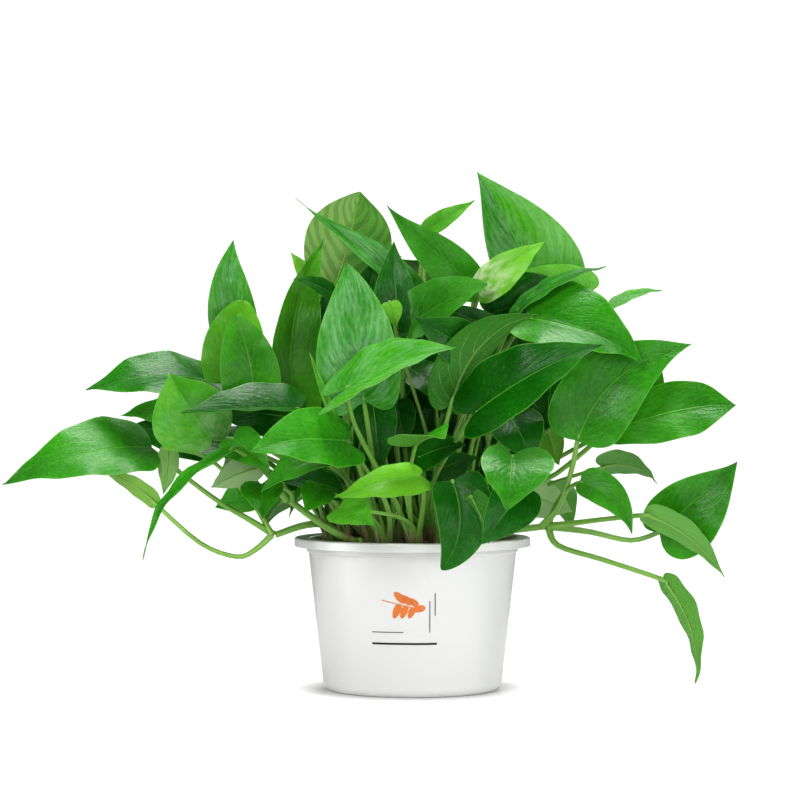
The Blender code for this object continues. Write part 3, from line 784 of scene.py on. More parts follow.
@dataclass(frozen=True)
class LeafyStem:
    """One leafy stem: its foot in the soil, its branch if it has one, its petioles and blades.

    root is its place in plan and branch the points of the branch that it sends out before its
    leaves part, both in millimetres. crown_turn is how many degrees lie between the starts of two
    petioles, and inner_turns where the inner ones begin and how many lie between them. lean,
    reach_out and reach_in shape a petiole's arch, and sheath is the share of it that is sheathed.
    """
    name: str
    slot: Slot
    root: Pair
    leaves: tuple[Leaf, ...]
    branch: tuple[Triple, ...] = ()
    stem_radius: float = 4.2 * MM
    stem_rise: float = 7 * MM
    petiole_radius: float = 1.9 * MM
    branch_radius: float = 3.0 * MM
    sheath: float = 0.15
    sheath_fit: float = 1.28
    roots: int = 3
    root_turn: float = 2.4
    crown_spread: float = 2.6 * MM
    crown_turn: float = 48
    inner_turns: Pair = (150, 70)
    lean: float = 0.35
    reach_out: float = 0.36
    reach_in: float = 0.29
    # How thick the midrib is under the blade: place from notch to tip, and share of the petiole.
    midrib: tuple[Pair, ...] = (
        (0.0, 0.95), (0.06, 0.62), (0.22, 0.42), (0.45, 0.30), (0.70, 0.20), (0.90, 0.10))
    # The stump: heights over the soil in millimetres, and shares of the stem's radius.
    stump: tuple[Pair, ...] = ((-12, 0.9), (-4, 1.0), (1, 1.08), (6, 0.9), (8, 0.55))
    # A bit of old root: how far out and how high in millimetres, and its radius there.
    strand: tuple[Triple, ...] = ((2, 4, 0.7), (10, 5, 0.6), (16, -4, 0.4))

    def foot(self, soil_top: float) -> Vector:
        """Where the stem leaves the soil."""
        return Vector((self.root[0] * MM, self.root[1] * MM, soil_top))

    def petiole(self, crown: Vector, blade: Blade, turn: float) -> Stalk:
        """The petiole of a blade, which runs on as the midrib under it.

        Args:
            crown: the point that the stem's petioles leave.
            blade: the blade that it carries.
            turn: how far its start is swung round the crown, in degrees.

        Returns:
            The stalk.
        """
        leaf = blade.leaf
        out = blade.base - crown
        out.rotate(Quaternion(UP, math.radians(turn)))
        out = (out * Vector((1, 1, 0))).normalized()
        start = crown + out * self.crown_spread
        reach = (blade.base - start).length
        if leaf.via:
            route = [start] + [Vector(point) * MM for point in leaf.via]
        else:
            arrive = (blade.base - start).normalized() * 3 + (blade.tip - blade.base).normalized()
            bend_out = start + (UP + out * self.lean) * reach * self.reach_out
            bend_in = blade.base - arrive.normalized() * reach * self.reach_in
            route = []
            for step in range(5):
                t = step / 5
                r = 1 - t
                route.append(start * r ** 3 + bend_out * 3 * r * r * t + bend_in * 3 * r * t * t
                             + blade.base * t ** 3)
        # Small blades have thinner petioles, and each petiole is thicker at its foot.
        thick = self.petiole_radius * min(1.0, 0.55 + blade.length * 6)
        radii = [thick * (1.0 + 0.55 * (1 - index / len(route)) ** 3) for index in range(len(route))]
        for share, size in self.midrib:
            point, _, up, _ = blade.rib(share)
            route.append(point - up * (blade.THICK * 0.5 + thick * size * 0.75))
            radii.append(thick * size)
        return Stalk(route, radii, blade.rib(0.9)[2], light=0.35 + leaf.tone.value.light * 0.6,
                     age=(0.28, -0.15))

    def dry_parts(self, foot: Vector, stalks: Sequence[Stalk]) -> list[Stalk]:
        """Papery sheaths round the petioles' lower ends, and old roots that arch into the soil."""
        made = []
        for number, stalk in enumerate(stalks):
            wide = stalk.radii[0] * self.sheath_fit
            reach = self.sheath * (0.7 + 0.2 * (number % 3)) * 5 / (len(stalk.route) - 1)
            route = [catmull(stalk.route, reach * step / 3) for step in range(4)]
            made.append(Stalk(route, [wide, wide * 1.05, wide * 0.9, wide * 0.45], stalk.up,
                              groove=0.75, sides=8, slot=SCALE, steps=2))
        for number in range(self.roots):
            bearing = number * self.root_turn + foot.x * 90
            out = Vector((math.cos(bearing), math.sin(bearing), 0))
            route = [foot + (out * reach + UP * height) * MM for reach, height, _ in self.strand]
            route[1].z -= MM * number
            made.append(Stalk(route, [size * MM for _, _, size in self.strand], Vector((0.1, 0.1, 1)),
                              groove=0.0, sides=6, slot=SCALE))
        return made

    def build(self, soil_top: float, materials: Sequence[Material],
              inner: Sequence[Leaf] = ()) -> bpy.types.Object:
        """Makes the stem's piece.

        Args:
            soil_top: the height of the soil.
            materials: those of upper side, underside, stalk and dry scale.
            inner: further leaves on petioles of their own from the foot.

        Returns:
            The piece.
        """
        bm = bmesh.new()
        bm.verts.layers.float_vector.new("grain")
        bm.verts.layers.float_color.new("tint")
        foot = self.foot(soil_top)
        crown = foot + UP * self.stem_rise / 2
        Stalk([foot + UP * height * MM for height, _ in self.stump],
              [self.stem_radius * size for _, size in self.stump], Vector((0, 1, 0)),
              light=0.3, age=(0.75, 0.35), groove=0.0).add(bm)
        if self.branch:
            route = [crown] + [Vector(point) * MM for point in self.branch]
            radii = [self.branch_radius * (1.1 - 0.35 * index / len(route))
                     for index in range(len(route))]
            Stalk(route, radii, UP, light=0.6, age=(0.55, 0.35), groove=0.1).add(bm)
            crown = route[-1]
        middle, (first, turn) = (len(self.leaves) - 1) / 2, self.inner_turns
        grown = [(crown, Blade(leaf, number), self.crown_turn * (number - middle))
                 for number, leaf in enumerate(self.leaves)]
        grown += [(foot, Blade(leaf, number + 3), first + turn * number) for number, leaf in enumerate(inner)]
        stalks = []
        for start, blade, swing in grown:
            blade.add(bm)
            stalks.append(self.petiole(start, blade, swing))
        for stalk in stalks + self.dry_parts(foot, [] if self.branch else stalks):
            stalk.add(bm)
        return piece(self.name.replace("stem", "foliage"), bm, materials, self.slot, self.name)


def shown(name: str, data: Any) -> bpy.types.Object:
    """Puts a new object of that data in the scene."""
    made = bpy.data.objects.new(name, data)
    bpy.context.scene.collection.objects.link(made)
    return made


def skinned(name: str, bm: bmesh.types.BMesh, *materials: Material) -> bpy.types.Object:
    """Puts a bmesh, which is freed, in the scene with its materials."""
    mesh = bpy.data.meshes.new(name)
    bm.to_mesh(mesh)
    bm.free()
    for material in materials:
        mesh.materials.append(material)
    return shown(name, mesh)


def piece(name: str, bm: bmesh.types.BMesh, materials: Sequence[Material], slot: Slot,
          *nodes: str, crease: float = 50) -> bpy.types.Object:
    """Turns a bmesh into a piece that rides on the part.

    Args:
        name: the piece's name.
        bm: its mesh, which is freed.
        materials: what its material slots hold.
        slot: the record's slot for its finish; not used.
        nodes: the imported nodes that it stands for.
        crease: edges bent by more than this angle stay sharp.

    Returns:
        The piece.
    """
    made = skinned(name, bm, *materials)
    made.data.shade_smooth()
    made.data.set_sharp_from_angle(angle=math.radians(crease))
    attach(made, BODY)
    if nodes:
        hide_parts(*nodes)
    LOG.info("%s: %d faces", name, len(made.data.polygons))
    return made


# ---------------------------------------------------------------- pot, print and soil


def turned(profile: Sequence[Pair], segments: int) -> bmesh.types.BMesh:
    """A closed solid of revolution from a profile that starts and ends on the axis."""
    bm = bmesh.new()
    points = [bm.verts.new((radius, 0, height)) for radius, height in profile]
    edges = [bm.edges.new(pair) for pair in zip(points, points[1:])]
    bmesh.ops.spin(bm, geom=points + edges, axis=(0, 0, 1), cent=(0, 0, 0),
                   angle=math.tau, steps=segments, use_merge=True)
    bmesh.ops.remove_doubles(bm, verts=bm.verts, dist=MERGE)
    bmesh.ops.recalc_face_normals(bm, faces=bm.faces)
    return bm


def arc(centre: Pair, radius: float, start: float, stop: float, steps: int) -> list[Pair]:
    """Points of an arc in the (radius, height) plane, angles in degrees."""
    angles = (math.radians(start + (stop - start) * step / steps) for step in range(steps + 1))
    return [(centre[0] + radius * math.cos(a), centre[1] + radius * math.sin(a)) for a in angles]


@dataclass(frozen=True)
class Pot:
    """The moulded pot: its foot, its wall, the step under the rim and the rim with its skirt.

    skirt is how far the rim hangs down, step_drop and step_depth place the step, ring is how near to
    a round corner the next points stand, and bead is how deep the skirt's grooves are.
    """
    wall: float = 2.0 * MM
    base_radius: float = BASE_WALL
    neck_radius: float = 80.5 * MM
    skirt: float = 6.5 * MM
    step_drop: float = 10.5 * MM
    step_depth: float = 0.1 * MM
    ring: float = 0.5 * MM
    edge_round: float = 0.4 * MM
    neck_round: float = 1.2 * MM
    shoulder: float = 0.8 * MM
    foot_lip: float = 0.6 * MM
    groove: float = 0.5 * MM
    corner: float = 7 * MM
    rim_round: float = 1.2 * MM
    bead: float = 0.12 * MM
    segments: int = 160

    def radius(self, height: float) -> float:
        """The outer wall's radius at a height, under the rim."""
        return self.base_radius + WALL_SLOPE * height

    def build(self, material: Material) -> bpy.types.Object:
        """Makes the pot's piece."""
        low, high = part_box("pot")
        top, rim = high[2], (high[0] - low[0]) / 2
        step, under = top - self.step_drop, top - self.wall
        skirt, edge = rim - self.wall, top - self.skirt
        corner = self.radius(self.corner) - self.corner
        ledge = self.neck_radius + self.step_depth
        small, neck, shoulder = self.edge_round, self.neck_round, self.shoulder
        # Up the outside: the foot, the wall, the step, the skirt with its two grooves and the rim.
        profile = [(0, low[2]), (corner * 0.55, low[2]), (corner * 0.86, low[2] + self.foot_lip),
                   (corner * 0.90, low[2])]
        profile += arc((corner, self.corner), self.corner, -90, 0, 12)
        profile += [(self.radius(step * share), step * share) for share in (0.08, 0.3, 0.6, 0.98, 0.995)]
        profile += arc((ledge - small, step + small), small, -60, 0, 4)
        profile += [(ledge, step + small + self.ring), (ledge, under - neck - self.ring)]
        profile += arc((ledge + neck, under - neck), neck, 180, 90, 5)
        profile += [(skirt - shoulder, under)]
        profile += arc((skirt - shoulder, under - shoulder), shoulder, 90, 0, 4)
        profile += arc((skirt + small, edge + small), small, 180, 270, 3)
        profile += arc((rim - small, edge + small), small, 270, 360, 3)
        profile += [(rim, edge + small + self.ring)]
        for share in (0.30, 0.62):
            line = edge + self.skirt * share
            profile += [(rim, line - self.groove), (rim - self.bead * 0.7, line), (rim, line + self.groove)]
        profile += [(rim, top - self.rim_round - self.ring)]
        profile += arc((rim - self.rim_round, top - self.rim_round), self.rim_round, 0, 90, 6)
        profile += [(rim - self.rim_round - self.ring, top), (self.neck_radius + self.ring, top)]
        # Down the inside and across the floor.
        profile += arc((self.neck_radius, under), self.wall, 90, 180, 8)
        profile += [(self.radius(step * share) - self.wall, step * share) for share in (0.97, 0.6, 0.3)]
        profile += arc((corner, self.corner), self.corner - self.wall, 0, -90, 6)
        profile += [(0, low[2] + self.wall)]
        bm = turned(profile, self.segments)
        return piece("pot_shell", bm, [material], Slot.POT, "pot", crease=40)


@dataclass(frozen=True)
class Sprig:
    """The plain print on the pot's front: an orange sprig of oval leaflets, and plain dark lines."""
    pot: Pot
    foot: Pair = (-23.5 * MM, 73.5 * MM)
    tip: Pair = (6.5 * MM, 66.5 * MM)
    leaflet: Pair = (12.0 * MM, 5.6 * MM)
    pairs: int = 3
    splay: float = 54
    stalk_width: float = 0.7 * MM
    film: float = 0.10 * MM
    # Each line's ends, across and up, and its width, in millimetres.
    lines: tuple[tuple[float, float, float, float, float], ...] = (
        (-31, 41.0, 18, 41.0, 1.5), (-31, 49.6, -7, 49.6, 0.6),
        (12.6, 49.5, 12.6, 73.0, 0.6), (16.6, 62.0, 16.6, 79.0, 0.6))

    def wrap(self, bm: bmesh.types.BMesh) -> None:
        """Lays a flat drawing, its x across and its z up, round the pot's wall as a thin film."""
        for vert in bm.verts:
            radius = self.pot.radius(vert.co.z) + self.film
            angle = vert.co.x / radius
            vert.co = Vector((radius * math.sin(angle), -radius * math.cos(angle), vert.co.z))
        bmesh.ops.recalc_face_normals(bm, faces=bm.faces)
        if bm.faces[:][0].normal.y > 0:
            bmesh.ops.reverse_faces(bm, faces=bm.faces)
        bmesh.ops.solidify(bm, geom=bm.faces[:], thickness=self.film * 1.5)

    def oval(self, bm: bmesh.types.BMesh, middle: Vector, tilt: float, size: Pair) -> None:
        """Adds one leaflet, longer than wide, that leans by tilt degrees from upright."""
        verts = bmesh.ops.create_grid(bm, x_segments=8, y_segments=12, size=1)["verts"]
        lean = Matrix.Rotation(math.radians(-tilt), 3, "Y")
        for vert in verts:
            along = vert.co.y
            width = math.sqrt(max(0.0, 1 - along * along)) * (1 - 0.22 * along)
            flat = Vector((vert.co.x * width * size[1] / 2, 0, along * size[0] / 2))
            vert.co = middle + lean @ flat
        bmesh.ops.remove_doubles(bm, verts=verts, dist=MERGE)

    def bar(self, bm: bmesh.types.BMesh, start: Vector, end: Vector, width: float) -> None:
        """Adds a thin straight line."""
        verts = bmesh.ops.create_grid(bm, x_segments=1, y_segments=16, size=1)["verts"]
        run = end - start
        side = Vector((run.z, 0, -run.x)).normalized()
        for vert in verts:
            vert.co = start + run * (vert.co.y + 1) / 2 + side * vert.co.x * width / 2

    def build(self, ink: Material, dark: Material) -> list[bpy.types.Object]:
        """Makes the sprig's piece and the lines' piece."""
        bm = bmesh.new()
        foot, tip = (Vector((across, 0, up)) for across, up in (self.foot, self.tip))
        run = tip - foot
        lean = math.degrees(math.atan2(run.x, run.z))
        self.bar(bm, foot, foot + run * 0.8, self.stalk_width)
        long, wide = self.leaflet
        for pair in range(self.pairs):
            joint = foot + run * (0.30 + 0.19 * pair)
            size = (long * (1 - 0.12 * pair), wide * (1 - 0.08 * pair))
            for side in (-1, 1):
                tilt = lean + side * self.splay
                out = Vector((math.sin(math.radians(tilt)), 0, math.cos(math.radians(tilt))))
                self.oval(bm, joint + out * size[0] * 0.54, tilt, size)
        self.oval(bm, foot + run * 0.92, lean, (long * 0.9, wide * 0.9))
        self.wrap(bm)
        sprig = piece("pot_print_sprig", bm, [ink], Slot.POT)
        bm = bmesh.new()
        for x, z, far_x, far_z, width in self.lines:
            self.bar(bm, Vector((x, 0, z)) * MM, Vector((far_x, 0, far_z)) * MM, width * MM)
        self.wrap(bm)
        return [sprig, piece("pot_print_lines", bm, [dark], Slot.POT)]


@dataclass(frozen=True)
class Soil:
    """The potting mix: a lumpy crust with crumbs and a few white grains on it.

    swell is how much higher its middle is, lumps how many lumps there are to a metre and lump how
    high they are.
    """
    segments: int = 96
    rings: int = 22
    swell: float = 2.5 * MM
    lumps: float = 75
    lump: float = 2.2 * MM
    headroom: float = 0.8 * MM
    crumbs: int = 620
    grains: int = 36
    crumb_size: Pair = (0.7 * MM, 2.4 * MM)
    grain_size: Pair = (0.8 * MM, 1.5 * MM)
    rough: float = 0.12

    def crust(self, spot: Vector, top: float, radius: float) -> float:
        """The height of the crust at a place."""
        reach = min(1.0, math.hypot(spot.x, spot.y) / radius)
        lump = noise.fractal(Vector((spot.x, spot.y, 0)) * self.lumps, 0.8, 2.1, 4) * self.lump
        return top - self.swell * reach ** 2 + lump * (1 - reach ** 8)

    def build(self, mix: Material, perlite: Material) -> bpy.types.Object:
        """Makes the soil's piece."""
        low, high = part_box("soil")
        radius, crest = (high[0] - low[0]) / 2, high[2] - self.headroom
        edge = crest - self.swell
        slope = WALL_SLOPE * (edge - low[2])
        profile = [(0, low[2]), (radius - slope - 6.5 * MM, low[2]), (radius - slope, low[2] + 5 * MM)]
        profile += [(radius * ring / self.rings, edge) for ring in range(self.rings, -1, -1)]
        bm = turned(profile, self.segments)
        for vert in bm.verts:
            if vert.co.z > edge - MM:
                vert.co.z = self.crust(vert.co, crest, radius)
        draw = random.Random(SEED)
        for index in range(self.crumbs + self.grains):
            white = index >= self.crumbs
            reach, bearing = radius * math.sqrt(draw.random()) * 0.97, draw.uniform(0, math.tau)
            spot = Vector((reach * math.cos(bearing), reach * math.sin(bearing), 0))
            spot.z = self.crust(spot, crest, radius) + 0.2 * MM
            size = draw.uniform(*(self.grain_size if white else self.crumb_size))
            squash = Matrix.Diagonal(
                [draw.uniform(*span) for span in ((0.7, 1.6), (0.6, 1.1), (0.5, 0.9))] + [1])
            axis = Vector([draw.gauss(0, 1) for _ in range(3)]).normalized()
            turn = Quaternion(axis, draw.uniform(0, math.tau)).to_matrix().to_4x4()
            made = bmesh.ops.create_icosphere(bm, subdivisions=1, radius=size,
                                              matrix=Matrix.Translation(spot) @ turn @ squash)
            for vert in made["verts"]:
                vert.co += Vector([draw.uniform(-1, 1) for _ in range(3)]) * size * self.rough
                for face in vert.link_faces:
                    face.material_index = int(white)
        return piece("soil_crust", bm, [mix, perlite], Slot.SOIL, "soil", crease=60)


# ---------------------------------------------------------------- studio


@dataclass(frozen=True)
class Softbox:
    """A soft round light: where it stands and its width, in metres, and its power in watts."""
    name: str
    spot: Triple
    size: float
    power: float

    def build(self, aim: Vector) -> None:
        """Makes the light, aimed at a point."""
        lamp = bpy.data.lights.new(self.name, "AREA")
        lamp.shape, lamp.size, lamp.energy = "DISK", self.size, self.power
        made = shown(self.name, lamp)
        made.location = self.spot
        made.rotation_euler = (aim - Vector(self.spot)).to_track_quat("-Z", "Y").to_euler()


@dataclass(frozen=True)
class Studio:
    """A white table and backdrop, soft lights, and the camera in front at the leaves' height.

    haze is where the table starts and ends to fade, as distances from the middle.
    """
    camera_spot: Triple = (-0.0095, -2.2, 0.245)
    camera_pitch: float = 0.636
    lens: float = 129.7
    sensor: float = 36
    far: float = 30
    table_radius: float = 0.5
    haze_lift: float = 0.4 * MM
    haze: Pair = (0.066, 0.100)
    dome_radius: float = 7.0
    ambient: float = 0.06
    lights: tuple[Softbox, ...] = (
        Softbox("key", (-0.8, -1.8, 1.2), 0.8, 16),
        Softbox("fill", (1.2, -1.7, 0.6), 1.1, 12),
        Softbox("front", (0.1, -2.4, -0.10), 1.6, 13),
        Softbox("left", (-1.7, -0.5, 0.25), 0.9, 11),
        Softbox("right", (1.7, -0.5, 0.35), 0.9, 10),
        Softbox("top", (0.1, 0.1, 1.9), 0.9, 25),
        Softbox("back", (0.5, 1.8, 1.1), 1.4, 13),
    )

    def table(self) -> None:
        """The white table that the pot stands on."""
        bm = bmesh.new()
        bmesh.ops.create_circle(bm, cap_ends=True, segments=96, radius=self.table_radius)
        board = Board("table_white")
        grain = board.noise(board.place(), 300)
        self.show("table", bm, board.dress(
            Base_Color=(0.86, 0.86, 0.86, 1), Roughness=0.6 + grain.sway(0.1),
            Normal=board.bump(grain, 0.1 * MM, 0.2)))

    def glow(self) -> None:
        """A haze over the table that fades its edge into the backdrop; only the camera sees it."""
        bm = bmesh.new()
        bmesh.ops.create_circle(bm, cap_ends=True, segments=96, radius=self.table_radius * 1.5,
                                matrix=Matrix.Translation(UP * self.haze_lift))
        board = Board("table_haze")
        radius = board.node("ShaderNodeVectorMath", {"operation": "LENGTH"}, {0: board.place()}, "Value")
        clear = board.node("ShaderNodeBsdfTransparent")
        both = board.node("ShaderNodeMixShader", values={
            0: radius.step(*self.haze), 1: clear, 2: board.glow()})
        self.only_seen(self.show("table_haze", bm, board.lit(both)))

    def dome(self) -> None:
        """A white backdrop all round, which only the camera sees."""
        bm = bmesh.new()
        bmesh.ops.create_icosphere(bm, subdivisions=3, radius=self.dome_radius)
        bmesh.ops.reverse_faces(bm, faces=bm.faces)
        board = Board("backdrop_white")
        self.only_seen(self.show("backdrop", bm, board.lit(board.glow())))

    def only_seen(self, made: bpy.types.Object) -> None:
        """Keeps a stage piece's light and shadow off the plant."""
        made.visible_diffuse = made.visible_glossy = made.visible_transmission = False
        made.visible_shadow = made.visible_volume_scatter = False

    def show(self, name: str, bm: bmesh.types.BMesh, material: Material) -> bpy.types.Object:
        """Puts a piece of the studio in the scene."""
        made = skinned(name, bm, material)
        return made

    def build(self) -> None:
        """Sets the stage."""
        self.table()
        self.glow()
        self.dome()
        scene = bpy.context.scene
        world = bpy.data.worlds.new("ambient")
        world.use_nodes = True
        sky = world.node_tree.nodes["Background"]
        sky.inputs["Color"].default_value = (1, 1, 1, 1)
        sky.inputs["Strength"].default_value = self.ambient
        scene.world = world
        low, high = cad_box
        for light in self.lights:
            light.build((low + high) / 2)
        camera = bpy.data.cameras.new("camera")
        camera.sensor_width, camera.lens, camera.clip_end = self.sensor, self.lens, self.far
        scene.camera = shown("camera", camera)
        scene.camera.location = self.camera_spot
        scene.camera.rotation_euler = (math.radians(90 - self.camera_pitch), 0, 0)
        scene.view_settings.view_transform = "Standard"
        scene.view_settings.look = "Medium High Contrast"


# ---------------------------------------------------------------- the plant

LEFT_RUNNER = ((-64, -42, 127), (-80, -52, 128), (-102, -57, 121))
LEFT_ARM = ((-56, -56, 122), (-74, -64, 134), (-91, -68, 147))
RIGHT_RUNNER = ((66, -40, 122), (99, -50, 127))

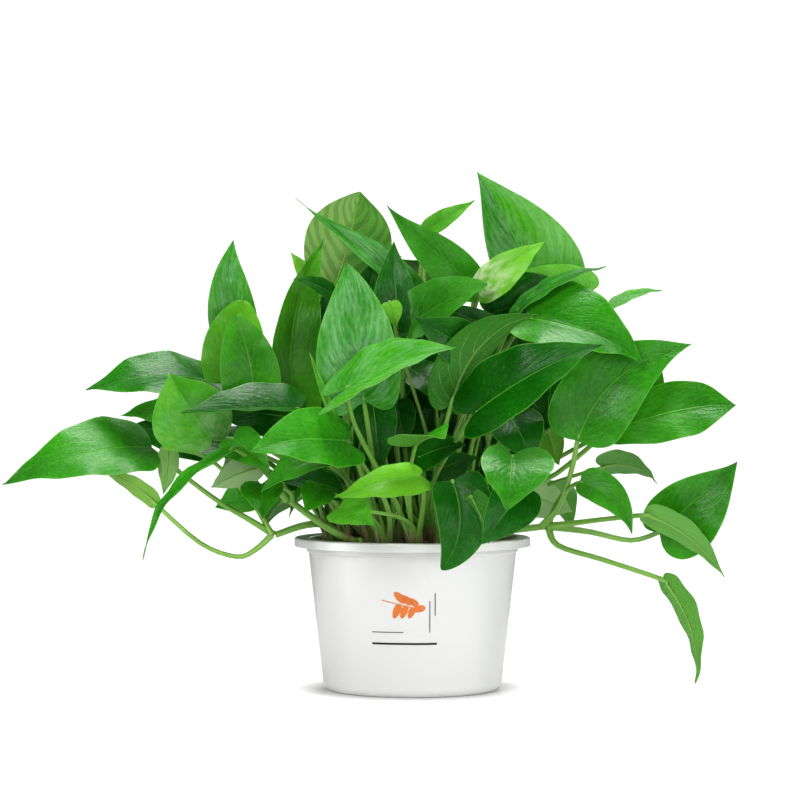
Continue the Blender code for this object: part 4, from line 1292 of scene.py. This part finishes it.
STEMS = (
    LeafyStem("stem_left_runner", Slot.FRESH, (-50, -30), (
        Leaf((-197, -25, 185), (-304, -70, 159), 27, 32, Tone.RICH, (0, 40), arch=0.12, fold=8, lobe=0.3,
             via=((-121, -56, 132), (-144, -50, 145), (-167, -40, 161))),
        Leaf((-191, -50, 144), (-236, -60, 171), 8, 9, Tone.UNDER_WARM, (180, 40), arch=0.10, lobe=0.4,
             via=((-117, -60, 110), (-131, -62, 105), (-158, -60, 115))),
        Leaf((-184, -34, 184), (-187, -44, 150), 9, 9, Tone.PALE, (160, 10),
             via=((-124, -46, 150), (-155, -38, 178))),
    ), branch=LEFT_RUNNER),
    LeafyStem("stem_left_arm", Slot.FRESH, (-40, -46), (
        Leaf((-113, -76, 172), (-148, -98, 158), 13, 13, Tone.FROSTED, (170, 25), fold=20),
        Leaf((-133, -74, 193), (-104, -98, 168), 15, 15, Tone.BRIGHT, (-10, 30), fold=20),
        Leaf((-129, -95, 187), (-195, -120, 106), 8, 8, Tone.SOFT, (-48, 38), arch=0.15, lobe=0.3,
             via=((-108, -80, 168),)),
        Leaf((-116, -32, 152), (-149, -30, 140), 14, 14, Tone.BRIGHT, (0, 20)),
        Leaf((-111, -84, 160), (-109, -112, 136), 16, 16, Tone.MID, (0, 30)),
    ), branch=LEFT_ARM),
    LeafyStem("stem_left_fan", Slot.FRESH, (-60, 4), (
        Leaf((-150, 2, 188), (-221, 18, 199), 22, 20, Tone.DARK, (0, 30)),
        Leaf((-162, 16, 205), (-226, 28, 208), 18, 20, Tone.MID, (0, 50)),
        Leaf((-142, 0, 231), (-246, -30, 228), 22, 28, Tone.SEA, (0, 50), arch=0.12, fold=10, peak=1.35),
    )),
    LeafyStem("stem_left_tall", Slot.FRESH, (-46, -8), (
        Leaf((-133, -28, 237), (-128, -15, 297), 27, 24, Tone.YELLOW, (-10, 5), arch=0.06, fold=20,
             full=0.45),
        Leaf((-135, 8, 262), (-137, 8, 343), 18, 20, Tone.STREAKED, (0, 0), sickle=-0.04, full=0.12),
    )),
    LeafyStem("stem_left_mid", Slot.DEEP, (-30, -30), (
        Leaf((-149, -60, 192), (-179, -75, 242), 33, 28, Tone.PALE_PAINTED_HALF_LIT, (-20, 20), arch=0.10, peak=1.3,
             via=((-74, -38, 160), (-116, -48, 188))),
        Leaf((-116, -34, 182), (-186, -48, 188), 17, 19, Tone.DARK, (0, 45)),
        Leaf((-83, -75, 215), (-169, -105, 212), 22, 25, Tone.DARK, (0, 62), arch=0.03, fold=30),
        Leaf((-84, -45, 207), (-153, -64, 211), 21, 17, Tone.DARK, (0, 20)),
        Leaf((-118, -56, 221), (-132, -54, 285), 24, 21, Tone.DUSKY, (0, 5), sickle=0.06, full=0.45),
    )),
    LeafyStem("stem_front_heart", Slot.FRESH, (-20, -54), (
        Leaf((-46, -85, 183), (-111, -112, 156), 20, 26, Tone.MID, (0, 60), fold=25),
        Leaf((-49, -105, 192), (-116, -160, 185), 27, 27, Tone.RICH, (0, 28), fold=14, lobe=1.8),
        Leaf((-54, -60, 154), (-99, -80, 161), 18, 18, Tone.DARK, (0, 50)),
        Leaf((-67, -85, 157), (-79, -105, 140), 13, 13, Tone.MID, (0, 20)),
        Leaf((-57, -88, 205), (-76, -92, 257), 3.4, 3.4, Tone.PALE, (0, 0), arch=0.10, fold=40),
    )),
    LeafyStem("stem_centre_silver", Slot.FRESH, (-12, -32), (
        Leaf((-36, -90, 220), (-49, -80, 322), 32, 30, Tone.SILVER, (-5, 10), arch=0.05, fold=12, full=0.25),
        Leaf((-30, -60, 221), (-22, -60, 169), 17, 17, Tone.DARK, (0, 0)),
        Leaf((-12, -42, 219), (-6, -48, 184), 13, 13, Tone.GLOSSY, (0, 0)),
        Leaf((-22, -16, 152), (-16, -18, 200), 14, 14, Tone.GLOSSY, (0, 0)),
    )),
    LeafyStem("stem_centre_streaked", Slot.FRESH, (2, -56), (
        Leaf((-49, -118, 230), (30, -150, 260), 26, 24, Tone.STREAKED, (0, 50), fold=18, lobe=3.4),
        Leaf((1, -115, 189), (23, -150, 195), 24, 26, Tone.BRIGHT, (0, 70), fold=25),
        Leaf((5, -112, 167), (-57, -138, 152), 20, 13, Tone.LIME, (0, 40), fold=22, roll=30),
        Leaf((-53, -110, 144), (-28, -135, 132), 16, 16, Tone.LIGHT, (0, 30)),
    )),
    LeafyStem("stem_tall_dark", Slot.DEEP, (-30, -8), (
        Leaf((-88, -30, 213), (-67, -10, 344), 17, 24, Tone.OLIVE, (20, 0), sickle=-0.13, fold=25),
        Leaf((-58, -6, 258), (-66, -10, 312), 15, 15, Tone.DARK, (0, 0)),
        Leaf((-58, -45, 299), (-89, -62, 311), 9, 9, Tone.DARK, (0, 35), lobe=0.4),
    )),
    LeafyStem("stem_top_left", Slot.FRESH, (-14, 10), (
        Leaf((-62, 6, 302), (-40, 4, 380), 34, 34, Tone.PAINTED_SHADE_BANDED, (180, 5), sickle=-0.04, full=0.22, peak=1.5),
        Leaf((-36, -14, 292), (-28, -16, 326), 13, 13, Tone.DARK, (0, 0), full=0.3),
        Leaf((5, -18, 298), (-89, -28, 374), 9, 13, Tone.DARK_STREAKED, (-20, 30), arch=0.10, fold=24,
             full=-0.7),
        Leaf((-11, -52, 273), (-14, -46, 340), 18, 16, Tone.SILVER_DARK, (0, 0)),
        Leaf((-70, 24, 302), (-94, 28, 335), 9, 9, Tone.LIME, (0, 20)),
    )),
    LeafyStem("stem_top_mid", Slot.FRESH, (8, 8), (
        Leaf((47, -25, 305), (-21, -20, 370), 17, 16, Tone.MID, (0, 0), full=-0.3),
        Leaf((10, 18, 350), (48, 14, 374), 8, 8, Tone.LIGHT, (0, 20)),
        Leaf((18, -8, 186), (26, -12, 238), 17, 17, Tone.DARK, (0, 0)),
        Leaf((-4, -4, 206), (10, -8, 284), 19, 19, Tone.DARK, (0, 0)),
    )),
    LeafyStem("stem_top_right", Slot.FRESH, (28, 6), (
        Leaf((104, 10, 297), (49, 0, 395), 28, 40, Tone.QUILTED_PAINTED_HALF_LIT, (-10, 10), fold=18),
        Leaf((50, -55, 306), (98, -62, 339), 11, 20, Tone.LIME_PATCHED, (0, 30), lobe=1.5),
        Leaf((137, -5, 304), (75, -15, 318), 15, 15, Tone.PALE, (0, 10)),
    )),
    LeafyStem("stem_right_upper", Slot.FRESH, (12, -18), (
        Leaf((-2, -54, 277), (55, -79, 307), 22, 14, Tone.MID, (0, 20), full=0.3),
        Leaf((64, -44, 272), (14, -52, 295), 20, 10, Tone.DARK, (0, 10),
             via=((30, -46, 190), (52, -62, 246))),
        Leaf((42, -72, 258), (1, -98, 282), 18, 18, Tone.DARK, (0, 10)),
        Leaf((-17, -66, 293), (-12, -66, 275), 8, 8, Tone.LIME, (0, 20)),
    )),
    LeafyStem("stem_right_bright", Slot.FRESH, (32, -14), (
        Leaf((84, -75, 282), (167, -110, 249), 38, 28, Tone.RICH, (0, 40), fold=18),
        Leaf((76, -62, 287), (143, -72, 320), 13, 13, Tone.GREY, (0, 66)),
        Leaf((58, -35, 285), (125, -45, 305), 26, 20, Tone.SILVER_DARK, (0, 10)),
        Leaf((72, -30, 232), (84, -34, 284), 16, 16, Tone.DARK, (0, 0)),
    )),
    LeafyStem("stem_right_back", Slot.FRESH, (46, 6), (
        Leaf((118, -30, 206), (129, -34, 280), 19, 18, Tone.DARK, (0, 0)),
        Leaf((149, 0, 291), (190, -10, 304), 8, 8, Tone.FROSTED, (0, 55), lobe=0.3),
        Leaf((164, -45, 214), (180, -35, 266), 20, 20, Tone.MID, (0, 10)),
        Leaf((104, -12, 196), (112, -16, 250), 16, 16, Tone.DARK, (0, 0)),
        Leaf((56, -10, 160), (64, -12, 214), 15, 15, Tone.GLOSSY, (0, 0)),
    )),
    LeafyStem("stem_right_dark", Slot.DEEP, (16, -40), (
        Leaf((44, -110, 212), (136, -130, 262), 30, 26, Tone.DARK, (0, 35), lobe=1.6),
        Leaf((28, -95, 218), (92, -100, 284), 14, 24, Tone.DARK, (180, -10), sickle=0.15, fold=25,
             roll=70),
        Leaf((9, -64, 169), (48, -84, 180), 18, 18, Tone.GLOSSY, (0, -20)),
        Leaf((4, -78, 179), (39, -98, 189), 16, 16, Tone.DARK, (0, 30)),
    )),
    LeafyStem("stem_front_rim", Slot.DEEP, (22, -58), (
        Leaf((28, -120, 164), (20, -132, 100), 24, 18, Tone.DARK, (5, 5), sickle=-0.12, full=0.4, lobe=0.4),
        Leaf((42, -130, 153), (54, -139, 119), 11, 11, Tone.DARK, (150, 0)),
    )),
    LeafyStem("stem_front_right", Slot.FRESH, (38, -44), (
        Leaf((79, -120, 158), (49, -140, 119), 20, 18, Tone.DARK, (20, 20), full=0.15),
        Leaf((71, -135, 183), (65, -170, 144), 31, 22, Tone.RICH, (0, 35), lobe=2.4),
        Leaf((72, -100, 209), (86, -120, 175), 20, 20, Tone.DARK, (0, 30)),
    )),
    LeafyStem("stem_right_runner", Slot.FRESH, (52, -28), (
        Leaf((120, -95, 192), (205, -85, 263), 30, 30, Tone.RICH, (0, 15), sickle=-0.145, lobe=0.2,
             via=((109, -66, 144), (117, -84, 172))),
        Leaf((183, -60, 123), (240, -70, 176), 22, 33, Tone.MID, (0, 15),
             via=((132, -55, 123), (162, -60, 117))),
        Leaf((170, -85, 138), (226, -110, 93), 11, 12, Tone.SOFT, (180, 35), arch=0.18, lobe=0.4,
             via=((121, -60, 130), (140, -70, 133))),
        Leaf((186, -60, 89), (209, -75, 12), 16, 16, Tone.BRIGHT, (120, 20), arch=0.12, lobe=0.5,
             via=((108, -56, 113), (140, -60, 103))),
        Leaf((122, -95, 162), (159, -110, 124), 15, 11, Tone.MID, (0, 20), sickle=-0.10, lobe=0.3),
    ), branch=RIGHT_RUNNER),
    LeafyStem("stem_right_low", Slot.FRESH, (62, -10), (
        Leaf((141, -60, 196), (238, -78, 218), 24, 25, Tone.MID, (0, 30), full=0.15, peak=1.7, lobe=0.2,
             via=((78, -32, 150), (107, -50, 166))),
        Leaf((84, -10, 192), (98, -14, 244), 17, 17, Tone.DARK, (0, 0)),
        Leaf((88, -34, 150), (120, -36, 137), 15, 15, Tone.FROSTED, (180, 0)),
        Leaf((102, -30, 198), (110, -40, 172), 10, 10, Tone.YELLOW, (180, 0)),
        Leaf((140, -60, 172), (180, -80, 160), 15, 15, Tone.GREY, (150, 50), arch=0.20),
    )),
)


def stray(draw: random.Random, span: float) -> float:
    """A random number that lies up to span to either side of 0."""
    return draw.uniform(-span, span)


def polar(bearing: float, reach: float) -> Pair:
    """A place in plan, where 0 degrees is the right and 90 the far side."""
    angle = math.radians(bearing)
    return (reach * math.cos(angle), reach * math.sin(angle))


@dataclass(frozen=True)
class Tier:
    """Leaves at one level, in millimetres: the reach and height of their ends, and the half width."""
    base: Pair
    tip: Pair
    half: float


@dataclass(frozen=True)
class FarSide:
    """The far side's stems: one to a bearing, each with leaves in tiers that droop outward.

    Millimetres and degrees. first and last are bearings, stagger lifts every other stem, and swing
    turns the tiers to either side. The outermost stems go without the top tier.
    """
    tiers: tuple[Tier, ...] = (
        Tier((98, 152), (162, 112), 34),
        Tier((92, 206), (162, 166), 35),
        Tier((66, 262), (138, 226), 33),
        Tier((42, 308), (106, 280), 29),
    )
    stems: int = 5
    first: float = 42
    last: float = 146
    root: float = 50
    stagger: float = 20
    swing: float = 8
    base_stray: float = 3
    tip_stray: float = 6
    drop_stray: float = 8
    face_stray: float = 12
    rise: float = 38
    fold: Pair = (8, 20)
    tones: tuple[Tone, ...] = (Tone.MID, Tone.BRIGHT, Tone.DARK, Tone.SOFT, Tone.SILVER, Tone.LIGHT)

    def plan(self) -> list[LeafyStem]:
        """Lists the stems."""
        draw = random.Random(SEED)
        made = []
        for index in range(self.stems):
            bearing = self.first + (self.last - self.first) * index / (self.stems - 1)
            raised = self.stagger * (index % 2)
            tiers = self.tiers if 0 < index < self.stems - 1 else self.tiers[:-1]
            leaves = []
            for level, tier in enumerate(tiers):
                turn = bearing + self.swing * (1 if level % 2 else -1) + stray(draw, self.base_stray)
                base = (*polar(turn, tier.base[0]), tier.base[1] + raised)
                tip = (*polar(turn + stray(draw, self.tip_stray), tier.tip[0]),
                       tier.tip[1] + raised + stray(draw, self.drop_stray))
                tone = self.tones[(index * 5 + level * 2) % len(self.tones)]
                leaves.append(Leaf(base, tip, tier.half, tier.half, tone,
                                   (90 + turn + stray(draw, self.face_stray), self.rise),
                                   arch=0.14, fold=draw.uniform(*self.fold)))
            name = f"stem_back_{index + 1}"
            made.append(LeafyStem(name, Slot.FRESH, polar(bearing, self.root), tuple(leaves)))
        return made


@dataclass(frozen=True)
class SideGrowth:
    """Leaves that face outward over the pot's two sides, in millimetres and degrees.

    Only stems at least edge to the side, and not further forward than front, grow them.
    """
    tiers: tuple[Tier, ...] = (
        Tier((58, 172), (97, 132), 23),
        Tier((66, 226), (110, 186), 26),
        Tier((58, 270), (100, 236), 23),
    )
    edge: float = 43
    front: float = -12
    swing: float = 15
    base_stray: float = 4
    tip_stray: float = 8
    face_stray: float = 12
    rise: float = 35
    tones: tuple[Tone, ...] = (Tone.DUSKY, Tone.RICH, Tone.MID, Tone.SOFT)

    def leaves(self, stem: LeafyStem, draw: random.Random) -> list[Leaf]:
        """Draws the outward leaves of one stem, if it stands near enough to the side."""
        if abs(stem.root[0]) < self.edge or stem.root[1] < self.front:
            return []
        made = []
        for level, tier in enumerate(self.tiers):
            turn = self.swing * (0.5 + stem.root[1] / 8 + level % 2) + stray(draw, self.base_stray)
            bearing = turn if stem.root[0] > 0 else 180 - turn
            base = (*polar(bearing, tier.base[0]), tier.base[1])
            tip = (*polar(bearing + stray(draw, self.tip_stray), tier.tip[0]), tier.tip[1])
            made.append(Leaf(base, tip, tier.half, tier.half, draw.choice(self.tones),
                             (90 + bearing + stray(draw, self.face_stray), self.rise),
                             arch=0.12, fold=14))
        return made


@dataclass(frozen=True)
class InnerGrowth:
    """Small shaded leaves that close the middle of the plant, in millimetres and degrees.

    each is how many a stem grows. wide, deep and high bound the places of their bases, size their
    lengths, and plump their half widths as shares of the length.
    """
    each: int = 2
    beside: float = 26
    swing: float = 150
    face_stray: float = 45
    plump: Pair = (0.27, 0.36)
    wide: float = 84
    deep: Pair = (-34, 34)
    high: Pair = (138, 268)
    size: Pair = (40, 66)
    tones: tuple[Tone, ...] = (Tone.DARK, Tone.GLOSSY, Tone.MID, Tone.OLIVE, Tone.DARK)

    def leaves(self, stem: LeafyStem, draw: random.Random) -> list[Leaf]:
        """Draws the small leaves of one stem."""
        made = []
        for _ in range(self.each):
            x = max(-self.wide, min(self.wide, stem.root[0] * 1.3 + stray(draw, self.beside)))
            base = (x, draw.uniform(*self.deep), draw.uniform(*self.high))
            length = draw.uniform(*self.size)
            swing = math.radians(stray(draw, self.swing))
            tip = (base[0] + math.sin(swing) * length * 0.8, base[1] - draw.uniform(-0.2, 0.5) * length,
                   base[2] - math.cos(swing) * length * 0.7)
            half = length * draw.uniform(*self.plump)
            made.append(Leaf(base, tip, half, half, draw.choice(self.tones),
                             (stray(draw, self.face_stray), draw.uniform(0, 50)),
                             arch=draw.uniform(0.04, 0.16), fold=draw.uniform(8, 26)))
        return made


def main() -> None:
    """Builds the studio, the pot, its print, the soil and every leafy stem."""
    logging.basicConfig(level=logging.INFO, format="%(name)s %(message)s")
    Studio().build()
    pot = Pot()
    pot.build(PotPlastic().make())
    Sprig(pot).build(PrintInk("ink_orange", (0.66, 0.18, 0.03, 1), (0.74, 0.32, 0.14, 1)).make(),
                     PrintInk("ink_dark", (0.018, 0.017, 0.016, 1), (0.06, 0.06, 0.06, 1)).make())
    Soil().build(PottingMix().make(), Perlite().make())
    materials = [BladeUpper().make(), BladeUnder().make(), StalkSkin().make(), DryScale().make()]
    # The stems leave the soil a little under its crest.
    soil_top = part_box("soil")[1][2] - 2 * MM
    inner, side, draw = InnerGrowth(), SideGrowth(), random.Random(SEED + 1)
    for stem in STEMS:
        more = [] if stem.branch else inner.leaves(stem, draw) + side.leaves(stem, draw)
        stem.build(soil_top, materials, more)
    for stem in FarSide().plan():
        stem.build(soil_top, materials, inner.leaves(stem, draw))


if __name__ == "__main__":
    main()
